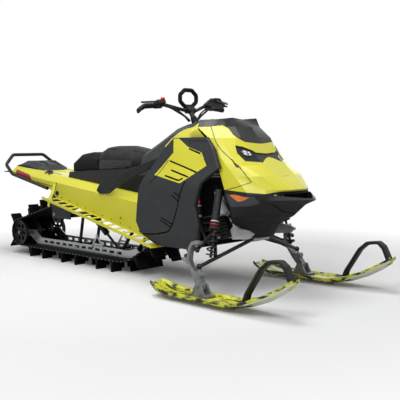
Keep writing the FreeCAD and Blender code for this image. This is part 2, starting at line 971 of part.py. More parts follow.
# Front cover: each level's height share, then the reach and half width of its outline in shares,
# from the cheek's rear edge to the middle of the nose
COVER_SHARES = (
    (0.0, ((-0.01, 1.0), (0.39, 0.95), (0.63, 0.74), (0.743, 0.485), (0.795, 0.224), (0.81, 0.0))),
    (0.06, ((-0.02, 1.0), (0.35, 0.94), (0.603, 0.716), (0.758, 0.474), (0.816, 0.224), (0.826, 0.0))),
    (0.23, ((-0.09, 1.0), (0.156, 0.948), (0.35, 0.85), (0.512, 0.68), (0.57, 0.336), (0.577, 0.0))),
    (0.368, ((-0.148, 0.996), (0.0, 0.963), (0.145, 0.88), (0.203, 0.769), (0.384, 0.373), (0.39, 0.0))),
    (0.48, ((-0.273, 0.989), (-0.117, 0.963), (0.026, 0.85), (0.13, 0.683), (0.249, 0.392), (0.255, 0.0))),
    (0.61, ((-0.30, 0.981), (-0.195, 0.94), (-0.099, 0.84), (0.021, 0.679), (0.13, 0.429), (0.14, 0.0))),
    (0.73, ((-0.36, 0.96), (-0.273, 0.914), (-0.177, 0.79), (-0.052, 0.616), (0.013, 0.504), (0.042, 0.0))),
    (0.88, ((-0.62, 0.918), (-0.52, 0.858), (-0.403, 0.728), (-0.255, 0.567), (-0.156, 0.418),
            (-0.083, 0.0))),
)
CROWN_SHARES = (
    0.985,
    ((-0.72, 0.72), (-0.623, 0.69), (-0.442, 0.616), (-0.301, 0.56), (-0.223, 0.41), (-0.27, 0.0)),
)
CONSOLE_FRONT_SHARE = CROWN_SHARES[1][0][0]


def cover_sections(inset, rear_run):
    """Level outlines of the front cover, drawn in by a wall and stretched to the rear."""
    sections = []
    levels = COVER_SHARES + (CROWN_SHARES,)
    for number, (level, outline) in enumerate(levels):
        right = []
        for reach_share, half_share in outline[:-1]:
            x = dim.cowl_reach * reach_share - inset
            right.append((x, inset - dim.cowl_half_width * half_share))
        right[0] = (right[0][0] + inset - rear_run, right[0][1])
        nose = (dim.cowl_reach * outline[-1][0] - inset, ZERO)
        left = [(x, -y) for x, y in reversed(right)]
        height = dim.cowl_base + dim.cowl_height * level
        if number == 0:
            height = height - inset * 2
        if number == len(levels) - 1:
            height = height - inset
        sections.append((height, right + [nose] + left))
    return sections


# Side view outlines that part the cover, in shares of its reach and height
GLASS_EDGE_SHARES = (
    (-0.62, 0.878), (-0.46, 0.884), (-0.304, 0.902), (-0.205, 0.85),
    (-0.09, 0.766), (0.02, 0.702), (0.10, 0.652), (0.16, 0.634),
)
SEAM_SHARES = (
    (-0.46, 0.93), (-0.39, 0.843), (-0.158, 0.57), (0.036, 0.445), (0.208, 0.348),
    (0.39, 0.145), (0.10, 0.068),
)
SKIRT_SHARES = ((-0.2, 0.055), (0.01, 0.055), (0.62, 0.014), (0.745, 0.042), (1.0, 0.035))
# Front view outlines of the lamp opening and of one lens, in shares of the half width and height
LAMP_TOP_SHARES = ((0.68, 0.63), (0.545, 0.61), (0.317, 0.532), (0.0, 0.518))
LAMP_LOW_SHARES = ((0.142, 0.448), (0.32, 0.402), (0.664, 0.423), (0.72, 0.527))
LENS_SHARES = (
    (0.63, 0.557), (0.56, 0.573), (0.455, 0.557), (0.455, 0.495), (0.537, 0.482), (0.60, 0.505),
)
LAMP_BAND_LOW_SHARE = 0.472


def side_view(shares):
    return [(dim.cowl_reach * a, dim.cowl_base + dim.cowl_height * b) for a, b in shares]


def front_view(shares, side=-1):
    return [(dim.cowl_half_width * (a * side), dim.cowl_base + dim.cowl_height * b) for a, b in shares]


def build_front_cover():
    """Hood, its skirt, windshield, cheeks and head lamps, all cut from one faceted shell."""
    wall = dim.cowl_wall
    far = dim.cowl_reach * 2
    wide = dim.cowl_half_width * 2.2

    def shell():
        outer = loft_body("XY_Plane", cover_sections(ZERO, ZERO))
        inner = loft_body("XY_Plane", cover_sections(wall, wall * 2))
        return cut(outer, [inner])

    def above(line, lift=ZERO):
        lifted = [(x, z + lift) for x, z in line]
        sky = dim.console_top + far
        return lifted + [(far, lifted[-1][1]), (far, sky), (-far, sky), (-far, lifted[0][1])]

    glass = side_view(GLASS_EDGE_SHARES)
    place(common([shell(), pad_body("XZ_Plane", [above(glass, dim.seam)], wide)]), "windshield")
    seam = side_view(SEAM_SHARES)
    skirt = side_view(SKIRT_SHARES)
    floor = dim.cowl_base - far
    cheek_region = seam + [(seam[-1][0], floor), (-far, floor), (-far, seam[0][1])]
    drawn_back = [(x - dim.seam, z) for x, z in seam] + cheek_region[len(seam):]
    below_skirt = skirt + [(far, skirt[-1][1]), (far, floor), (-far, floor), (-far, skirt[0][1])]
    half_wide = dim.cowl_half_width
    keep_right = pad_body(
        "XY_Plane",
        [[(-far, -wide), (far, -wide), (far, -half_wide * 0.5), (-far, -half_wide * 0.5)]],
        far * 4,
    )
    cheeks = common([shell(), pad_body("XZ_Plane", [drawn_back], wide)])
    trimmed = cut(
        cheeks,
        [pad_body("XZ_Plane", [above(glass)], wide), pad_body("XZ_Plane", [below_skirt], wide)],
    )
    both_sides(common([trimmed, keep_right]), "cheeks")
    right = front_view(LAMP_TOP_SHARES + ((0.0, LAMP_BAND_LOW_SHARE),) + LAMP_LOW_SHARES)
    band_top = len(LAMP_TOP_SHARES)
    left = front_view(LAMP_TOP_SHARES + LAMP_LOW_SHARES, 1)
    opening = list(reversed(left[:band_top - 1]))
    opening = right[:band_top] + opening + list(reversed(left[band_top:])) + right[band_top:]
    front = dim.cowl_reach * 0.7
    lamp_tool = pad_body("YZ_Plane", [opening], dim.cowl_reach * 1.5, front)
    hood_tools = [
        pad_body("XZ_Plane", [above(glass)], wide),
        pad_body("XZ_Plane", [cheek_region], wide),
        pad_body("XZ_Plane", [below_skirt], wide),
        lamp_tool,
    ]
    place(cut(shell(), hood_tools), "hood")
    lowered = [(x, z - dim.seam) for x, z in skirt]
    under = lowered + [(far, lowered[-1][1]), (far, floor), (-far, floor), (-far, lowered[0][1])]
    place(common([shell(), pad_body("XZ_Plane", [under], wide)]), "hood_skirt")

    inset = wall + dim.fit_gap
    recess_outer = loft_body("XY_Plane", cover_sections(inset, ZERO))
    recess_inner = loft_body("XY_Plane", cover_sections(inset + dim.lamp_depth, wall * 2))
    backing_tool = pad_body("YZ_Plane", [opening], dim.cowl_reach * 1.5, front)
    place(common([cut(recess_outer, [recess_inner]), backing_tool]), "lamp_housings")
    lens_outer = loft_body("XY_Plane", cover_sections(dim.lens_set_back, ZERO))
    lens_inner = loft_body("XY_Plane", cover_sections(wall, wall * 2))
    lens_tool = pad_body("YZ_Plane", [front_view(LENS_SHARES)], dim.cowl_reach * 1.5, front)
    both_sides(common([cut(lens_outer, [lens_inner]), lens_tool]), "head_lamps")


# Levels of the nose pan: height share, reach, rear and half width shares
PAN_SHARES = (
    (0.0, (0.1, 0.2, 0.22, 0.25, 0.25), 0.09, 0.30),
    (0.37, (0.06, 0.15, 0.27, 0.39, 0.45), 0.02, 0.86),
    (0.49, (0.10, 0.30, 0.42, 0.54, 0.62), 0.10, 0.95),
    (0.77, (0.15, 0.48, 0.60, 0.74, 0.83), 0.06, 0.99),
    (0.89, (0.20, 0.55, 0.74, 0.89, 1.0), 0.0, 1.0),
    (1.0, (0.30, 0.56, 0.67, 0.78, 0.82), -0.02, 1.0),
)
PAN_STATION_SHARES = (0.98, 0.80, 0.58, 0.26, 0.0)


# Side view outline of a reflector, in shares of the pan's reach and of its own height
PAN_REFLECTOR_SHARES = ((0.035, 0.965), (0.225, 0.95), (0.24, 0.93), (0.09, 0.84))


def build_pan():
    """Dark nose pan that narrows downwards between the suspension arms, with its reflectors."""
    base = dim.pan_base
    high = dim.cowl_base - dim.seam - base

    def sections(inset, extra):
        out = []
        for number, (level, reaches, rear_share, wide_share) in enumerate(PAN_SHARES):
            wide = dim.cowl_half_width * wide_share - inset
            right = [(dim.pan_reach * r - inset, -wide * s) for s, r in zip(PAN_STATION_SHARES, reaches)]
            left = [(x, -y) for x, y in reversed(right[:-1])]
            rear = dim.pan_reach * rear_share - extra
            height = base + high * level
            if number == 0:
                height = height + inset
            if number == len(PAN_SHARES) - 1:
                height = height + inset * 2
            out.append((height, [(rear, -wide)] + right + left + [(rear, wide)]))
        return out

    outer = loft_body("XY_Plane", sections(ZERO, ZERO))
    inner = loft_body("XY_Plane", sections(dim.pan_wall, dim.pan_wall * 2))
    place(cut(outer, [inner]), "nose_pan")
    reflector = [(dim.pan_reach * a, base + high * b) for a, b in PAN_REFLECTOR_SHARES]
    lens = loft_body("XY_Plane", sections(-dim.fit_gap - dim.reflector_depth, ZERO))
    skin = loft_body("XY_Plane", sections(-dim.fit_gap, ZERO))
    keep = pad_body("XZ_Plane", [reflector], dim.cowl_half_width, -dim.cowl_half_width)
    both_sides(common([cut(lens, [skin]), keep]), "side_reflectors")


# Side panel levels: height, rear and front along the panel, how far out its face stands, and
# how deep its edges turn in
PANEL_SHARES = (
    (0.0, 0.29, 0.78, 0.95, 1.0),
    (0.10, 0.07, 0.94, 1.0, 1.0),
    (0.21, 0.0, 0.95, 1.0, 1.0),
    (0.39, 0.025, 0.90, 1.0, 1.0),
    (0.53, 0.055, 0.95, 1.0, 1.0),
    (0.60, 0.10, 0.985, 0.985, 1.0),
    (0.73, 0.22, 1.185, 0.92, 1.0),
    (0.895, 0.38, 1.10, 0.88, 0.9),
    (1.0, 0.52, 0.998, 0.84, 0.6),
)


def build_panels():
    """Side panels: dished shells whose edges turn in towards the engine."""
    wall = dim.panel_wall
    sections = []
    for level, rear_share, front_share, out_share, lip_share in PANEL_SHARES:
        lip = dim.panel_flange * lip_share
        rear = -dim.panel_back + dim.panel_length * rear_share
        front = -dim.panel_back + dim.panel_length * front_share
        face = -dim.panel_half_width * out_share
        height = dim.panel_base + dim.panel_height * level
        sections.append(
            (
                height,
                [
                    (rear + lip * 0.3, face),
                    (front - lip * 0.3, face),
                    (front, face + lip * 0.3),
                    (front, face + lip),
                    (front - wall, face + lip),
                    (front - wall, face + lip * 0.3 + wall * 0.4),
                    (front - lip * 0.3 - wall * 0.4, face + wall),
                    (rear + lip * 0.3 + wall * 0.4, face + wall),
                    (rear + wall, face + lip * 0.3 + wall * 0.4),
                    (rear + wall, face + lip),
                    (rear, face + lip),
                    (rear, face + lip * 0.3),
                ],
            )
        )
    panel = loft_body("XY_Plane", sections)
    place(panel, "side_panel_right")
    other_side(panel, "side_panel_left")


# Console stations: run from front to rear, ridge height and width, shoulder, and low edge
CONSOLE_SHARES = (
    (0.0, 1.0, 0.37, 0.96, 0.79, 0.89, 0.945),
    (0.20, 0.985, 0.34, 0.945, 0.74, 0.85, 0.93),
    (0.358, 0.975, 0.30, 0.93, 0.64, 0.79, 0.88),
    (0.528, 0.95, 0.26, 0.905, 0.52, 0.70, 0.82),
    (0.79, 0.865, 0.30, 0.83, 0.48, 0.66, 0.70),
    (1.0, 0.80, 0.34, 0.77, 0.48, 0.655, 0.62),
)


def build_console():
    """Console and tank cover between the windshield and the seat, with the steering column's collar."""
    front = dim.cowl_reach * CONSOLE_FRONT_SHARE - dim.seam
    run = dim.seat_front_back - dim.soft_gap + front
    sections = []
    for along, top, ridge, shoulder, wide, low, foot in CONSOLE_SHARES:
        x = front - run * along
        height = dim.console_top
        half = dim.console_half_width
        sections.append(
            (
                x,
                [
                    (-half * foot, height * low),
                    (half * foot, height * low),
                    (half * wide, height * shoulder),
                    (half * ridge, height * top),
                    (-half * ridge, height * top),
                    (-half * wide, height * shoulder),
                ],
            )
        )
    cover = loft_body("YZ_Plane", list(reversed(sections)))
    socket = rod(
        Vector(0, 0, -float(dim.collar_depth + dim.fit_gap)),
        Vector(0, 0, float(dim.collar_depth)),
        dim.collar_radius + dim.fit_gap,
    )
    tool = feature(socket)
    tool.Placement = bar_mount()
    collar = feature(rod(Vector(0, 0, -float(dim.collar_depth)), Vector(0, 0, 0), dim.collar_radius))
    collar.Placement = bar_mount()
    place(group([cut(cover, [tool]), collar]), "console")


def build_engine():
    """The engine as one block, and the frame plates in front of it."""
    back = -dim.upper_mount_back - dim.upper_mount_spread - dim.arm_tube_radius * 2
    rear = -dim.tunnel_front_back + dim.fit_gap
    front = back - dim.fit_gap
    block = pad_body(
        "XZ_Plane",
        [[
            (rear, dim.engine_base),
            (front, dim.engine_base),
            (front, dim.engine_base + dim.engine_height),
            (rear, dim.engine_base + dim.engine_height),
        ]],
        dim.engine_width,
    )
    place(block, "engine")
    plate = dim.bulkhead_plate
    side = dim.bulkhead_half_width
    low = dim.upper_mount_height - dim.arm_tube_radius * 1.6
    high = shock_top_height + dim.shock_body_radius * 3

    def housing(inset, drop):
        wide = side - inset
        levels = (
            (low - drop, -0.03, 1.0),
            (low + (high - low) * 0.55, -0.03, 1.0),
            (high - inset, -0.15, 0.85),
        )
        return loft_body(
            "XY_Plane",
            [
                (z, [(back + inset, -wide * w), (side * front_share - inset, -wide * w),
                     (side * front_share - inset, wide * w), (back + inset, wide * w)])
                for z, front_share, w in levels
            ],
        )

    shell = cut(housing(ZERO, ZERO), [housing(plate, plate)])
    reach = float(dim.shock_top_half - dim.shock_body_radius * 0.97)
    beam_x = -float(dim.shock_top_back)
    beam_z = float(shock_top_height - dim.shock_body_radius)
    beams = []
    for way in (-1, 1):
        start = Vector(beam_x, way * float(side) * 0.9, beam_z)
        end = Vector(beam_x, way * reach, beam_z)
        beams.append(feature(rod(start, end, dim.shock_body_radius * 0.8)))
    place(fuse([shell] + beams), "bulkhead")

    wide = dim.panel_half_width * 0.9
    roof = dim.panel_base - dim.fit_gap
    floor = roof - dim.pan_wall
    belly = pad_body(
        "XZ_Plane",
        [[(rear, floor), (back, floor), (back, roof), (rear, roof)]],
        wide * 2,
    )
    place(belly, "belly_pan")


def build_brackets():
    """Brackets that carry the upper idlers and the rear arm below the tunnel."""
    x = upper_axle[0]
    drop = upper_axle[1] - dim.axle_radius * 2.2
    arm_x = upper_axle[0] + dim.rail_spread * 0.85
    low = board_height(arm_x) + dim.board_rail
    outline = [
        (x - dim.axle_radius * 2, low + dim.board_rail * 4.5),
        (x - dim.axle_radius * 2, drop),
        (arm_x + dim.axle_radius * 2, drop),
        (arm_x + dim.axle_radius * 3, low),
        (arm_x - dim.axle_radius * 2, low + dim.board_rail * 2.5),
    ]
    offset = dim.tunnel_half_width - dim.tunnel_wall - dim.fit_gap - dim.board_plate / 2
    hole = dim.axle_radius + dim.fit_gap
    arm_hole = dim.skid_tube_radius + dim.fit_gap
    plate = pad_body("XZ_Plane", [outline], dim.board_plate, offset,
                     [(x, upper_axle[1], hole), (arm_x, upper_axle[1], arm_hole)])
    both_sides(plate, "drop_brackets")


def bar_mount():
    """The steering column's frame: origin where it leaves the console, Z along the column."""
    turn = Rotation(Vector(0, 1, 0), -float(dim.column_lean))
    return Placement(Vector(-float(dim.column_back), 0, float(dim.column_height)), turn)


def on_column(piece, label):
    """Sets a piece drawn in the column's frame onto the machine."""
    piece.Placement = bar_mount()
    piece.setExpression("Placement.Base.x", (shift - dim.column_back).text)
    piece.setExpression("Placement.Base.z", dim.column_height.text)
    piece.Label = label
    sub_parts.append(piece)


def build_handlebar():
    """Handlebar with riser, grips, levers, control blocks and the mountain strap loop."""
    length = float(dim.column_length)
    half = float(dim.bar_half_width)
    rise = float(dim.bar_rise)
    sweep = float(dim.bar_sweep)
    radius = float(dim.bar_radius)
    gap = float(dim.fit_gap)
    clamp = float(dim.bar_clamp_half)
    grip_long = float(dim.grip_length)
    column = float(dim.column_radius)
    post = rod(Vector(0, 0, float(dim.joint_gap)), Vector(0, 0, length - radius * 0.5), column)
    block = rod(Vector(0, -clamp, length), Vector(0, clamp, length), radius * 2)
    bore = rod(Vector(0, -clamp * 2, length), Vector(0, clamp * 2, length), radius + gap)
    on_column(feature(post.fuse(block).cut(bore)), "bar_riser")

    start = Vector(-sweep * 2, -half, length + rise)
    hold = grip_long + float(dim.block_length) + clamp
    knee = Vector(-sweep, -half + hold, length + rise * 1.05)
    foot = Vector(0, -clamp * 1.6, length)
    right = [start, knee, foot]
    left = [Vector(p.x, -p.y, p.z) for p in reversed(right)]
    on_column(feature(tube(right + left, radius, clamp)), "handlebar")
    out = start - knee
    out.normalize()
    grip = float(dim.grip_radius)
    grips = []
    controls = []
    for side in (-1, 1):
        def turned(v):
            return Vector(v.x, -side * v.y, v.z)
        tip = turned(start + out * (radius * 0.5))
        root = turned(start - out * grip_long)
        sleeve = rod(root, tip, grip).cut(rod(root, turned(start + out * gap), radius + gap))
        grips.append(feature(sleeve))
        block_tip = turned(start - out * (grip_long + gap))
        back = float(dim.block_length)
        block_root = turned(start - out * (grip_long + back))
        size = float(dim.block_size)
        bore = rod(turned(knee), turned(start), radius + gap)
        lever_long = float(dim.lever_length)
        ahead = Vector(float(dim.lever_gap), 0, 0)
        middle = (block_root + block_tip) * 0.5
        lever = tube(
            [middle, middle + ahead, turned(start - out * (grip_long - lever_long)) + ahead],
            dim.lever_radius, size * 0.3,
        )
        controls.append(feature(rod(block_root, block_tip, size * 0.55).fuse(lever).cut(bore)))
    on_column(group(grips), "grips")
    on_column(group(controls), "hand_controls")
    wide = float(dim.strap_width) / 2 - float(dim.strap_radius)
    high = float(dim.strap_height)
    lean = math.radians(float(dim.column_lean))
    base = Vector(0, 0, length + radius * 2 + float(dim.strap_radius) + gap)
    up = Vector(math.sin(lean), 0, math.cos(lean))
    right_shares = ((0.45, 0.0), (1.0, 0.3), (1.0, 0.7), (0.45, 1.0))
    shares = right_shares + tuple((-a, b) for a, b in reversed(right_shares))
    ring = [base + up * (high * b) + Vector(0, wide * a, 0) for a, b in shares]
    ring_start = (ring[-1] + ring[0]) * 0.5
    half_one = tube([ring_start] + ring[:4] + [(ring[3] + ring[4]) * 0.5], dim.strap_radius, wide * 0.25)
    half_two = tube([(ring[3] + ring[4]) * 0.5] + ring[4:] + [ring_start], dim.strap_radius, wide * 0.25)
    on_column(feature(half_one.fuse(half_two).removeSplitter()), "strap_loop")


def kingpin(share, side=-1):
    """A place on the steering axis, from the ski bolt up by a share of its rise."""
    return Vector(
        -float(dim.kingpin_top_back) * share,
        side * (float(half_stance) - float(dim.kingpin_top_inset) * share),
        float(dim.ski_bolt_height) + float(dim.kingpin_top_rise) * share,
    )


LOWER_BALL_SHARE = 0.47
UPPER_BALL_SHARE = 0.86
COIL_TURNS = 3.75


def build_suspension():
    """Subframe, double arms and shocks of the front end."""
    radius = float(dim.arm_tube_radius)
    ball = float(dim.ball_radius)
    frame_radius = float(dim.frame_tube_radius)
    low = float(dim.frame_height)
    front_x = float(dim.frame_front_reach)
    rear_x = -float(dim.frame_rear_back)
    front_half = float(dim.frame_front_half)
    rear_half = float(dim.frame_rear_half)
    front_bar = rod(Vector(front_x, -front_half, low), Vector(front_x, front_half, low), frame_radius)
    rear_bar = rod(Vector(rear_x, -rear_half, low), Vector(rear_x, rear_half, low), frame_radius)
    rails = [
        rod(Vector(rear_x, side * front_half * 0.6, low), Vector(front_x, side * front_half * 0.6, low),
            frame_radius)
        for side in (-1, 1)
    ]
    plate = dim.bulkhead_plate
    roof = dim.upper_mount_height - dim.arm_tube_radius * 1.6 - dim.fit_gap
    wall_x = -dim.bulkhead_half_width * 0.03
    outline = [
        (dim.frame_front_reach - dim.frame_tube_radius, dim.frame_height),
        (dim.frame_front_reach + dim.frame_tube_radius, dim.frame_height),
        (wall_x, roof),
        (wall_x - plate, roof),
    ]
    posts = [
        pad_body("XZ_Plane", [outline], plate, dim.frame_front_half * 0.8 * way)
        for way in (-1, 1)
    ]
    frame = feature(front_bar.multiFuse([rear_bar] + rails))
    place(fuse([frame] + posts), "subframe")

    gap = float(dim.fit_gap)
    low_ball = kingpin(LOWER_BALL_SHARE)
    high_ball = kingpin(UPPER_BALL_SHARE)
    inner_front = Vector(front_x, -front_half - gap - radius, low)
    inner_rear = Vector(rear_x, -rear_half - gap - radius, low)
    fork = low_ball + (inner_front - low_ball) * 0.3
    arm = Part.makeSphere(ball, low_ball).multiFuse([
        rod(low_ball, inner_front, radius),
        rod(fork, inner_rear, radius),
        Part.makeSphere(radius, inner_front),
        Part.makeSphere(radius, inner_rear),
    ])
    both_sides(feature(arm), "lower_arms")
    small = radius * 0.8
    mount_front = point(-dim.upper_mount_back, -dim.upper_mount_half, dim.upper_mount_height)
    mount_rear = mount_front - Vector(float(dim.upper_mount_spread), 0, 0)
    fork = high_ball + (mount_front - high_ball) * 0.4
    arm = Part.makeSphere(ball * 0.8, high_ball).multiFuse([
        rod(high_ball, mount_front, small),
        rod(fork, mount_rear, small),
        Part.makeSphere(small, mount_front),
        Part.makeSphere(small, mount_rear),
    ])
    both_sides(feature(arm), "upper_arms")

    seat = low_ball + (inner_front - low_ball) * 0.2
    top = Vector(-float(dim.shock_top_back), -float(dim.shock_top_half), float(shock_top_height))
    run = top - seat
    run.normalize()
    foot = seat + run * (radius * 1.75)
    reach = (top - foot).Length
    split = foot + run * (reach * 0.42)
    spring = float(dim.spring_radius)
    wire = float(dim.spring_wire_radius)
    body = rod(split, top, dim.shock_body_radius)
    shaft = rod(foot, split, dim.shock_rod_radius)
    collar_low = rod(foot + run * (3 * wire), foot + run * (4 * wire), spring)
    collar_high = rod(split, split + run * (2 * wire), spring)
    shock = body.multiFuse([shaft, collar_low, collar_high])
    coil_run = reach * 0.42 - 6 * wire - 2 * gap
    coil = Part.makeHelix(coil_run / COIL_TURNS, coil_run, spring - wire)
    start = Part.Circle(Vector(spring - wire, 0, 0), Vector(0, 1, 0), wire).toShape()
    coil = Part.Wire(coil).makePipeShell([Part.Wire([start])], True, True)
    coil.Placement = Placement(foot + run * (5 * wire + gap), Rotation(Vector(0, 0, 1), run))
    both_sides(feature(coil), "front_springs")

    can = float(dim.reservoir_radius)
    base = point(-dim.reservoir_back, -dim.shock_top_half, dim.upper_mount_height + dim.reservoir_radius)
    tip = base + Vector(0, 0, float(dim.reservoir_length))
    hose_end = split + run * (reach * 0.2)
    can_shape = rod(base, tip, can).multiFuse([
        Part.makeSphere(can * 0.7, tip),
        rod(base + Vector(0, 0, can), hose_end, can * 0.3),
    ])
    both_sides(feature(shock.fuse(can_shape)), "front_shocks")


# Outline of the cast spindle leg behind the steering axis, in shares of the kingpin's rise
SPINDLE_SHARES = (
    (0.07, -0.06), (-0.03, -0.09), (-0.12, 0.0), (-0.30, 0.24), (-0.45, 0.49), (-0.715, 0.58),
    (-0.715, 0.655), (-0.55, 0.655), (-0.54, 0.73), (-0.53, 0.92), (-0.44, 1.06), (-0.28, 1.11),
    (-0.16, 1.09), (-0.18, 1.02), (-0.39, 0.99), (-0.455, 0.87), (-0.455, 0.60), (-0.36, 0.47),
    (-0.24, 0.36), (0.0, 0.36), (0.02, 0.28), (-0.02, 0.22), (0.08, 0.06),
)


def leaning(side):
    """The turn that leans a spindle inwards over its ski."""
    lean = math.degrees(math.atan2(float(dim.kingpin_top_inset), float(dim.kingpin_top_rise)))
    return Rotation(Vector(1, 0, 0), side * lean)


def lean_upright(piece, side, label):
    """Sets a piece drawn upright at the ski bolt onto the leaning steering axis."""
    centre = Vector(0, side * float(half_stance), float(dim.ski_bolt_height))
    piece.Placement = Placement(centre, leaning(side))
    piece.setExpression("Placement.Base.x", shift.text)
    piece.Label = label
    sub_parts.append(piece)


def build_spindles():
    """Cast spindle legs with their kingpin studs, and the tie rods that steer them."""
    rise = dim.kingpin_top_rise
    outline = [(rise * a, rise * b) for a, b in SPINDLE_SHARES]
    bolt = dim.saddle_bolt_radius + dim.fit_gap
    upright = math.hypot(float(rise), float(dim.kingpin_top_inset))
    stem = Vector(-float(dim.kingpin_top_back), 0, upright)
    axis = Vector(stem)
    axis.normalize()
    gap = float(dim.joint_gap)
    ball = float(dim.ball_radius)
    pin = float(dim.spindle_pin_radius)
    eye_at = Vector(-float(dim.steer_arm_back), 0, float(dim.steer_arm_rise))
    for side, name in ((-1, "right"), (1, "left")):
        leg = pad_body("XZ_Plane", [outline], dim.spindle_thickness)
        low_pin = rod(stem * 0.33, stem * LOWER_BALL_SHARE - axis * (ball + gap), pin)
        high_pin = rod(stem * UPPER_BALL_SHARE + axis * (ball + gap), stem * 1.06, pin)
        across = leaning(side).inverted().multVec(Vector(0, float(dim.spindle_thickness), 0))
        drill = feature(rod(across * -1, across, bolt))
        whole = cut(fuse([leg, feature(low_pin), feature(high_pin)]), [drill])
        lean_upright(whole, side, "spindle_" + name)

        turn = whole.Placement.Rotation
        centre = Vector(0, side * float(half_stance), float(dim.ski_bolt_height))
        eye = centre + turn.multVec(eye_at)
        up = turn.multVec(axis)
        high = float(dim.tie_rod_eye_height)
        inner = Vector(
            eye.x - float(dim.tie_rod_run_back),
            side * float(dim.tie_rod_inner_half),
            eye.z + float(dim.tie_rod_rise),
        )
        eye_ring = rod(eye - up * (high / 2), eye + up * (high / 2), dim.tie_rod_eye_radius)
        bar = rod(eye, inner, dim.tie_rod_radius)
        place(feature(eye_ring.fuse(bar)), "tie_rod_" + name)


# Ski stations: place along the ski, lift of the sole, and half width
SKI_SHARES = (
    (-0.577, 0.060, 0.60),
    (-0.46, 0.018, 0.92),
    (-0.31, 0.0, 1.0),
    (0.38, 0.0, 1.0),
    (0.58, 0.045, 0.97),
    (0.75, 0.110, 0.88),
    (0.90, 0.190, 0.68),
    (1.0, 0.260, 0.36),
)
LOOP_OUTER_SHARES = (
    (0.47, 0.0825), (0.51, 0.17), (0.655, 0.385), (0.74, 0.455), (0.865, 0.47), (0.925, 0.43),
    (0.985, 0.3118),
)
LOOP_INNER_SHARES = (
    (0.95, 0.2876), (0.90, 0.40), (0.855, 0.44), (0.75, 0.425), (0.68, 0.365), (0.54, 0.155),
    (0.52, 0.0938),
)


def build_skis():
    """Skis with a keel and raised edges, their steel runners, saddles and front loops."""
    reach = dim.ski_front_reach
    half = dim.ski_width / 2
    keel = dim.ski_keel_width / 2
    runner = dim.runner_radius * 2
    for side, name in ((-1, "right"), (1, "left")):
        centre = half_stance * side
        sections = []
        for along, lift, wide_share in SKI_SHARES:
            wide = half * wide_share
            sole = reach * lift + runner
            deck = sole + dim.ski_keel
            top = deck + dim.ski_deck
            slim = keel * wide_share
            right_half = [
                (slim * 0.5, sole),
                (slim, deck),
                (wide * 0.92, deck),
                (wide, deck + dim.ski_deck * 0.3),
                (wide, top),
                (wide * 0.84, top),
                (wide * 0.7, deck + dim.ski_deck * 0.5),
            ]
            outline = [(centre + y, z) for y, z in right_half]
            outline += [(centre - y, z) for y, z in reversed(right_half)]
            sections.append((reach * along, outline))
        place(loft_body("YZ_Plane", sections), "ski_" + name)
        start = reach * -0.30
        end = reach * 0.37
        thick = dim.runner_radius - dim.fit_gap / 2
        bar = rod(point(start, centre, thick), point(end, centre, thick), thick)
        place(feature(bar), "ski_runner_" + name)
        deck_top = runner + dim.ski_keel + dim.ski_deck * 0.5 + dim.fit_gap
        bolt_height = dim.ski_bolt_height
        ear = dim.saddle_ear
        foot = dim.spindle_thickness / 2 + dim.saddle_gap
        length = dim.saddle_length / 2
        outer = foot + ear
        base = loft_body(
            "YZ_Plane",
            [
                (-length, [(centre - outer, deck_top), (centre + outer, deck_top),
                           (centre + outer, deck_top + ear), (centre - outer, deck_top + ear)]),
                (length, [(centre - outer, deck_top), (centre + outer, deck_top),
                          (centre + outer, deck_top + ear), (centre - outer, deck_top + ear)]),
            ],
        )
        crown = bolt_height + ear * 1.4
        ears = [
            pad_body(
                "XZ_Plane",
                [[(-length * 0.7, deck_top + ear * 0.5), (length * 0.7, deck_top + ear * 0.5),
                  (length * 0.25, crown), (-length * 0.25, crown)]],
                ear,
                -(centre + way * (foot + ear / 2)),
            )
            for way in (-1, 1)
        ]
        bolt = doc.addObject("Part::Cylinder", "Bolt")
        bolt.setExpression("Radius", dim.saddle_bolt_radius.text)
        bolt.setExpression("Height", ((outer + ear * 0.5) * 2).text)
        bolt.Placement = Placement(Vector(), Rotation(Vector(1, 0, 0), -90))
        bolt.setExpression("Placement.Base.y", (centre - outer - ear * 0.5).text)
        bolt.setExpression("Placement.Base.z", bolt_height.text)
        place(fuse([base, bolt] + ears), "ski_saddle_" + name)
        outline = [(reach * a, reach * b) for a, b in LOOP_OUTER_SHARES + LOOP_INNER_SHARES]
        place(pad_body("XZ_Plane", [outline], dim.loop_width, -centre), "ski_loop_" + name)


build_track()
build_skid()
build_tunnel()
build_boards()
build_tail()
build_anchors()
build_seat()
build_front_cover()
build_pan()
build_panels()
build_console()
build_engine()
build_brackets()
build_suspension()
build_spindles()
build_skis()
build_handlebar()
doc.recompute()

os.makedirs("parts", exist_ok=True)
for item in doc.Objects:
    if "Invalid" in item.State or "Error" in item.State:
        raise RuntimeError("%s (%s) failed: %s" % (item.Label, item.Name, item.State))
for piece in sub_parts:
    if piece.Shape.isNull() or not piece.Shape.isValid():
        raise RuntimeError("%s has no sound shape" % piece.Label)
for piece in sub_parts:
    piece.Shape.exportStep("parts/%s.step" % piece.Label)
    box = piece.Shape.BoundBox
    print("%-24s x %7.1f %7.1f  y %7.1f %7.1f  z %7.1f %7.1f  solids %d" % (
        piece.Label, box.XMin, box.XMax, box.YMin, box.YMax, box.ZMin, box.ZMax, len(piece.Shape.Solids)))
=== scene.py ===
# %% [markdown]
# # A mountain snowmobile, dressed piece by piece
# The machine's frame was drawn as exact solids and loaded here as it is.
# This lesson gives it its looks: rounded mouldings, a lugged rubber track, a padded seat,
# springs, hoses, lamps and the paint, plastic and metal that each one is made of.
# Every length below is in millimetres and is turned to metres by one function.

# %% Load the frame
import json
import math

import bmesh
import bpy
from mathutils import Matrix, Vector


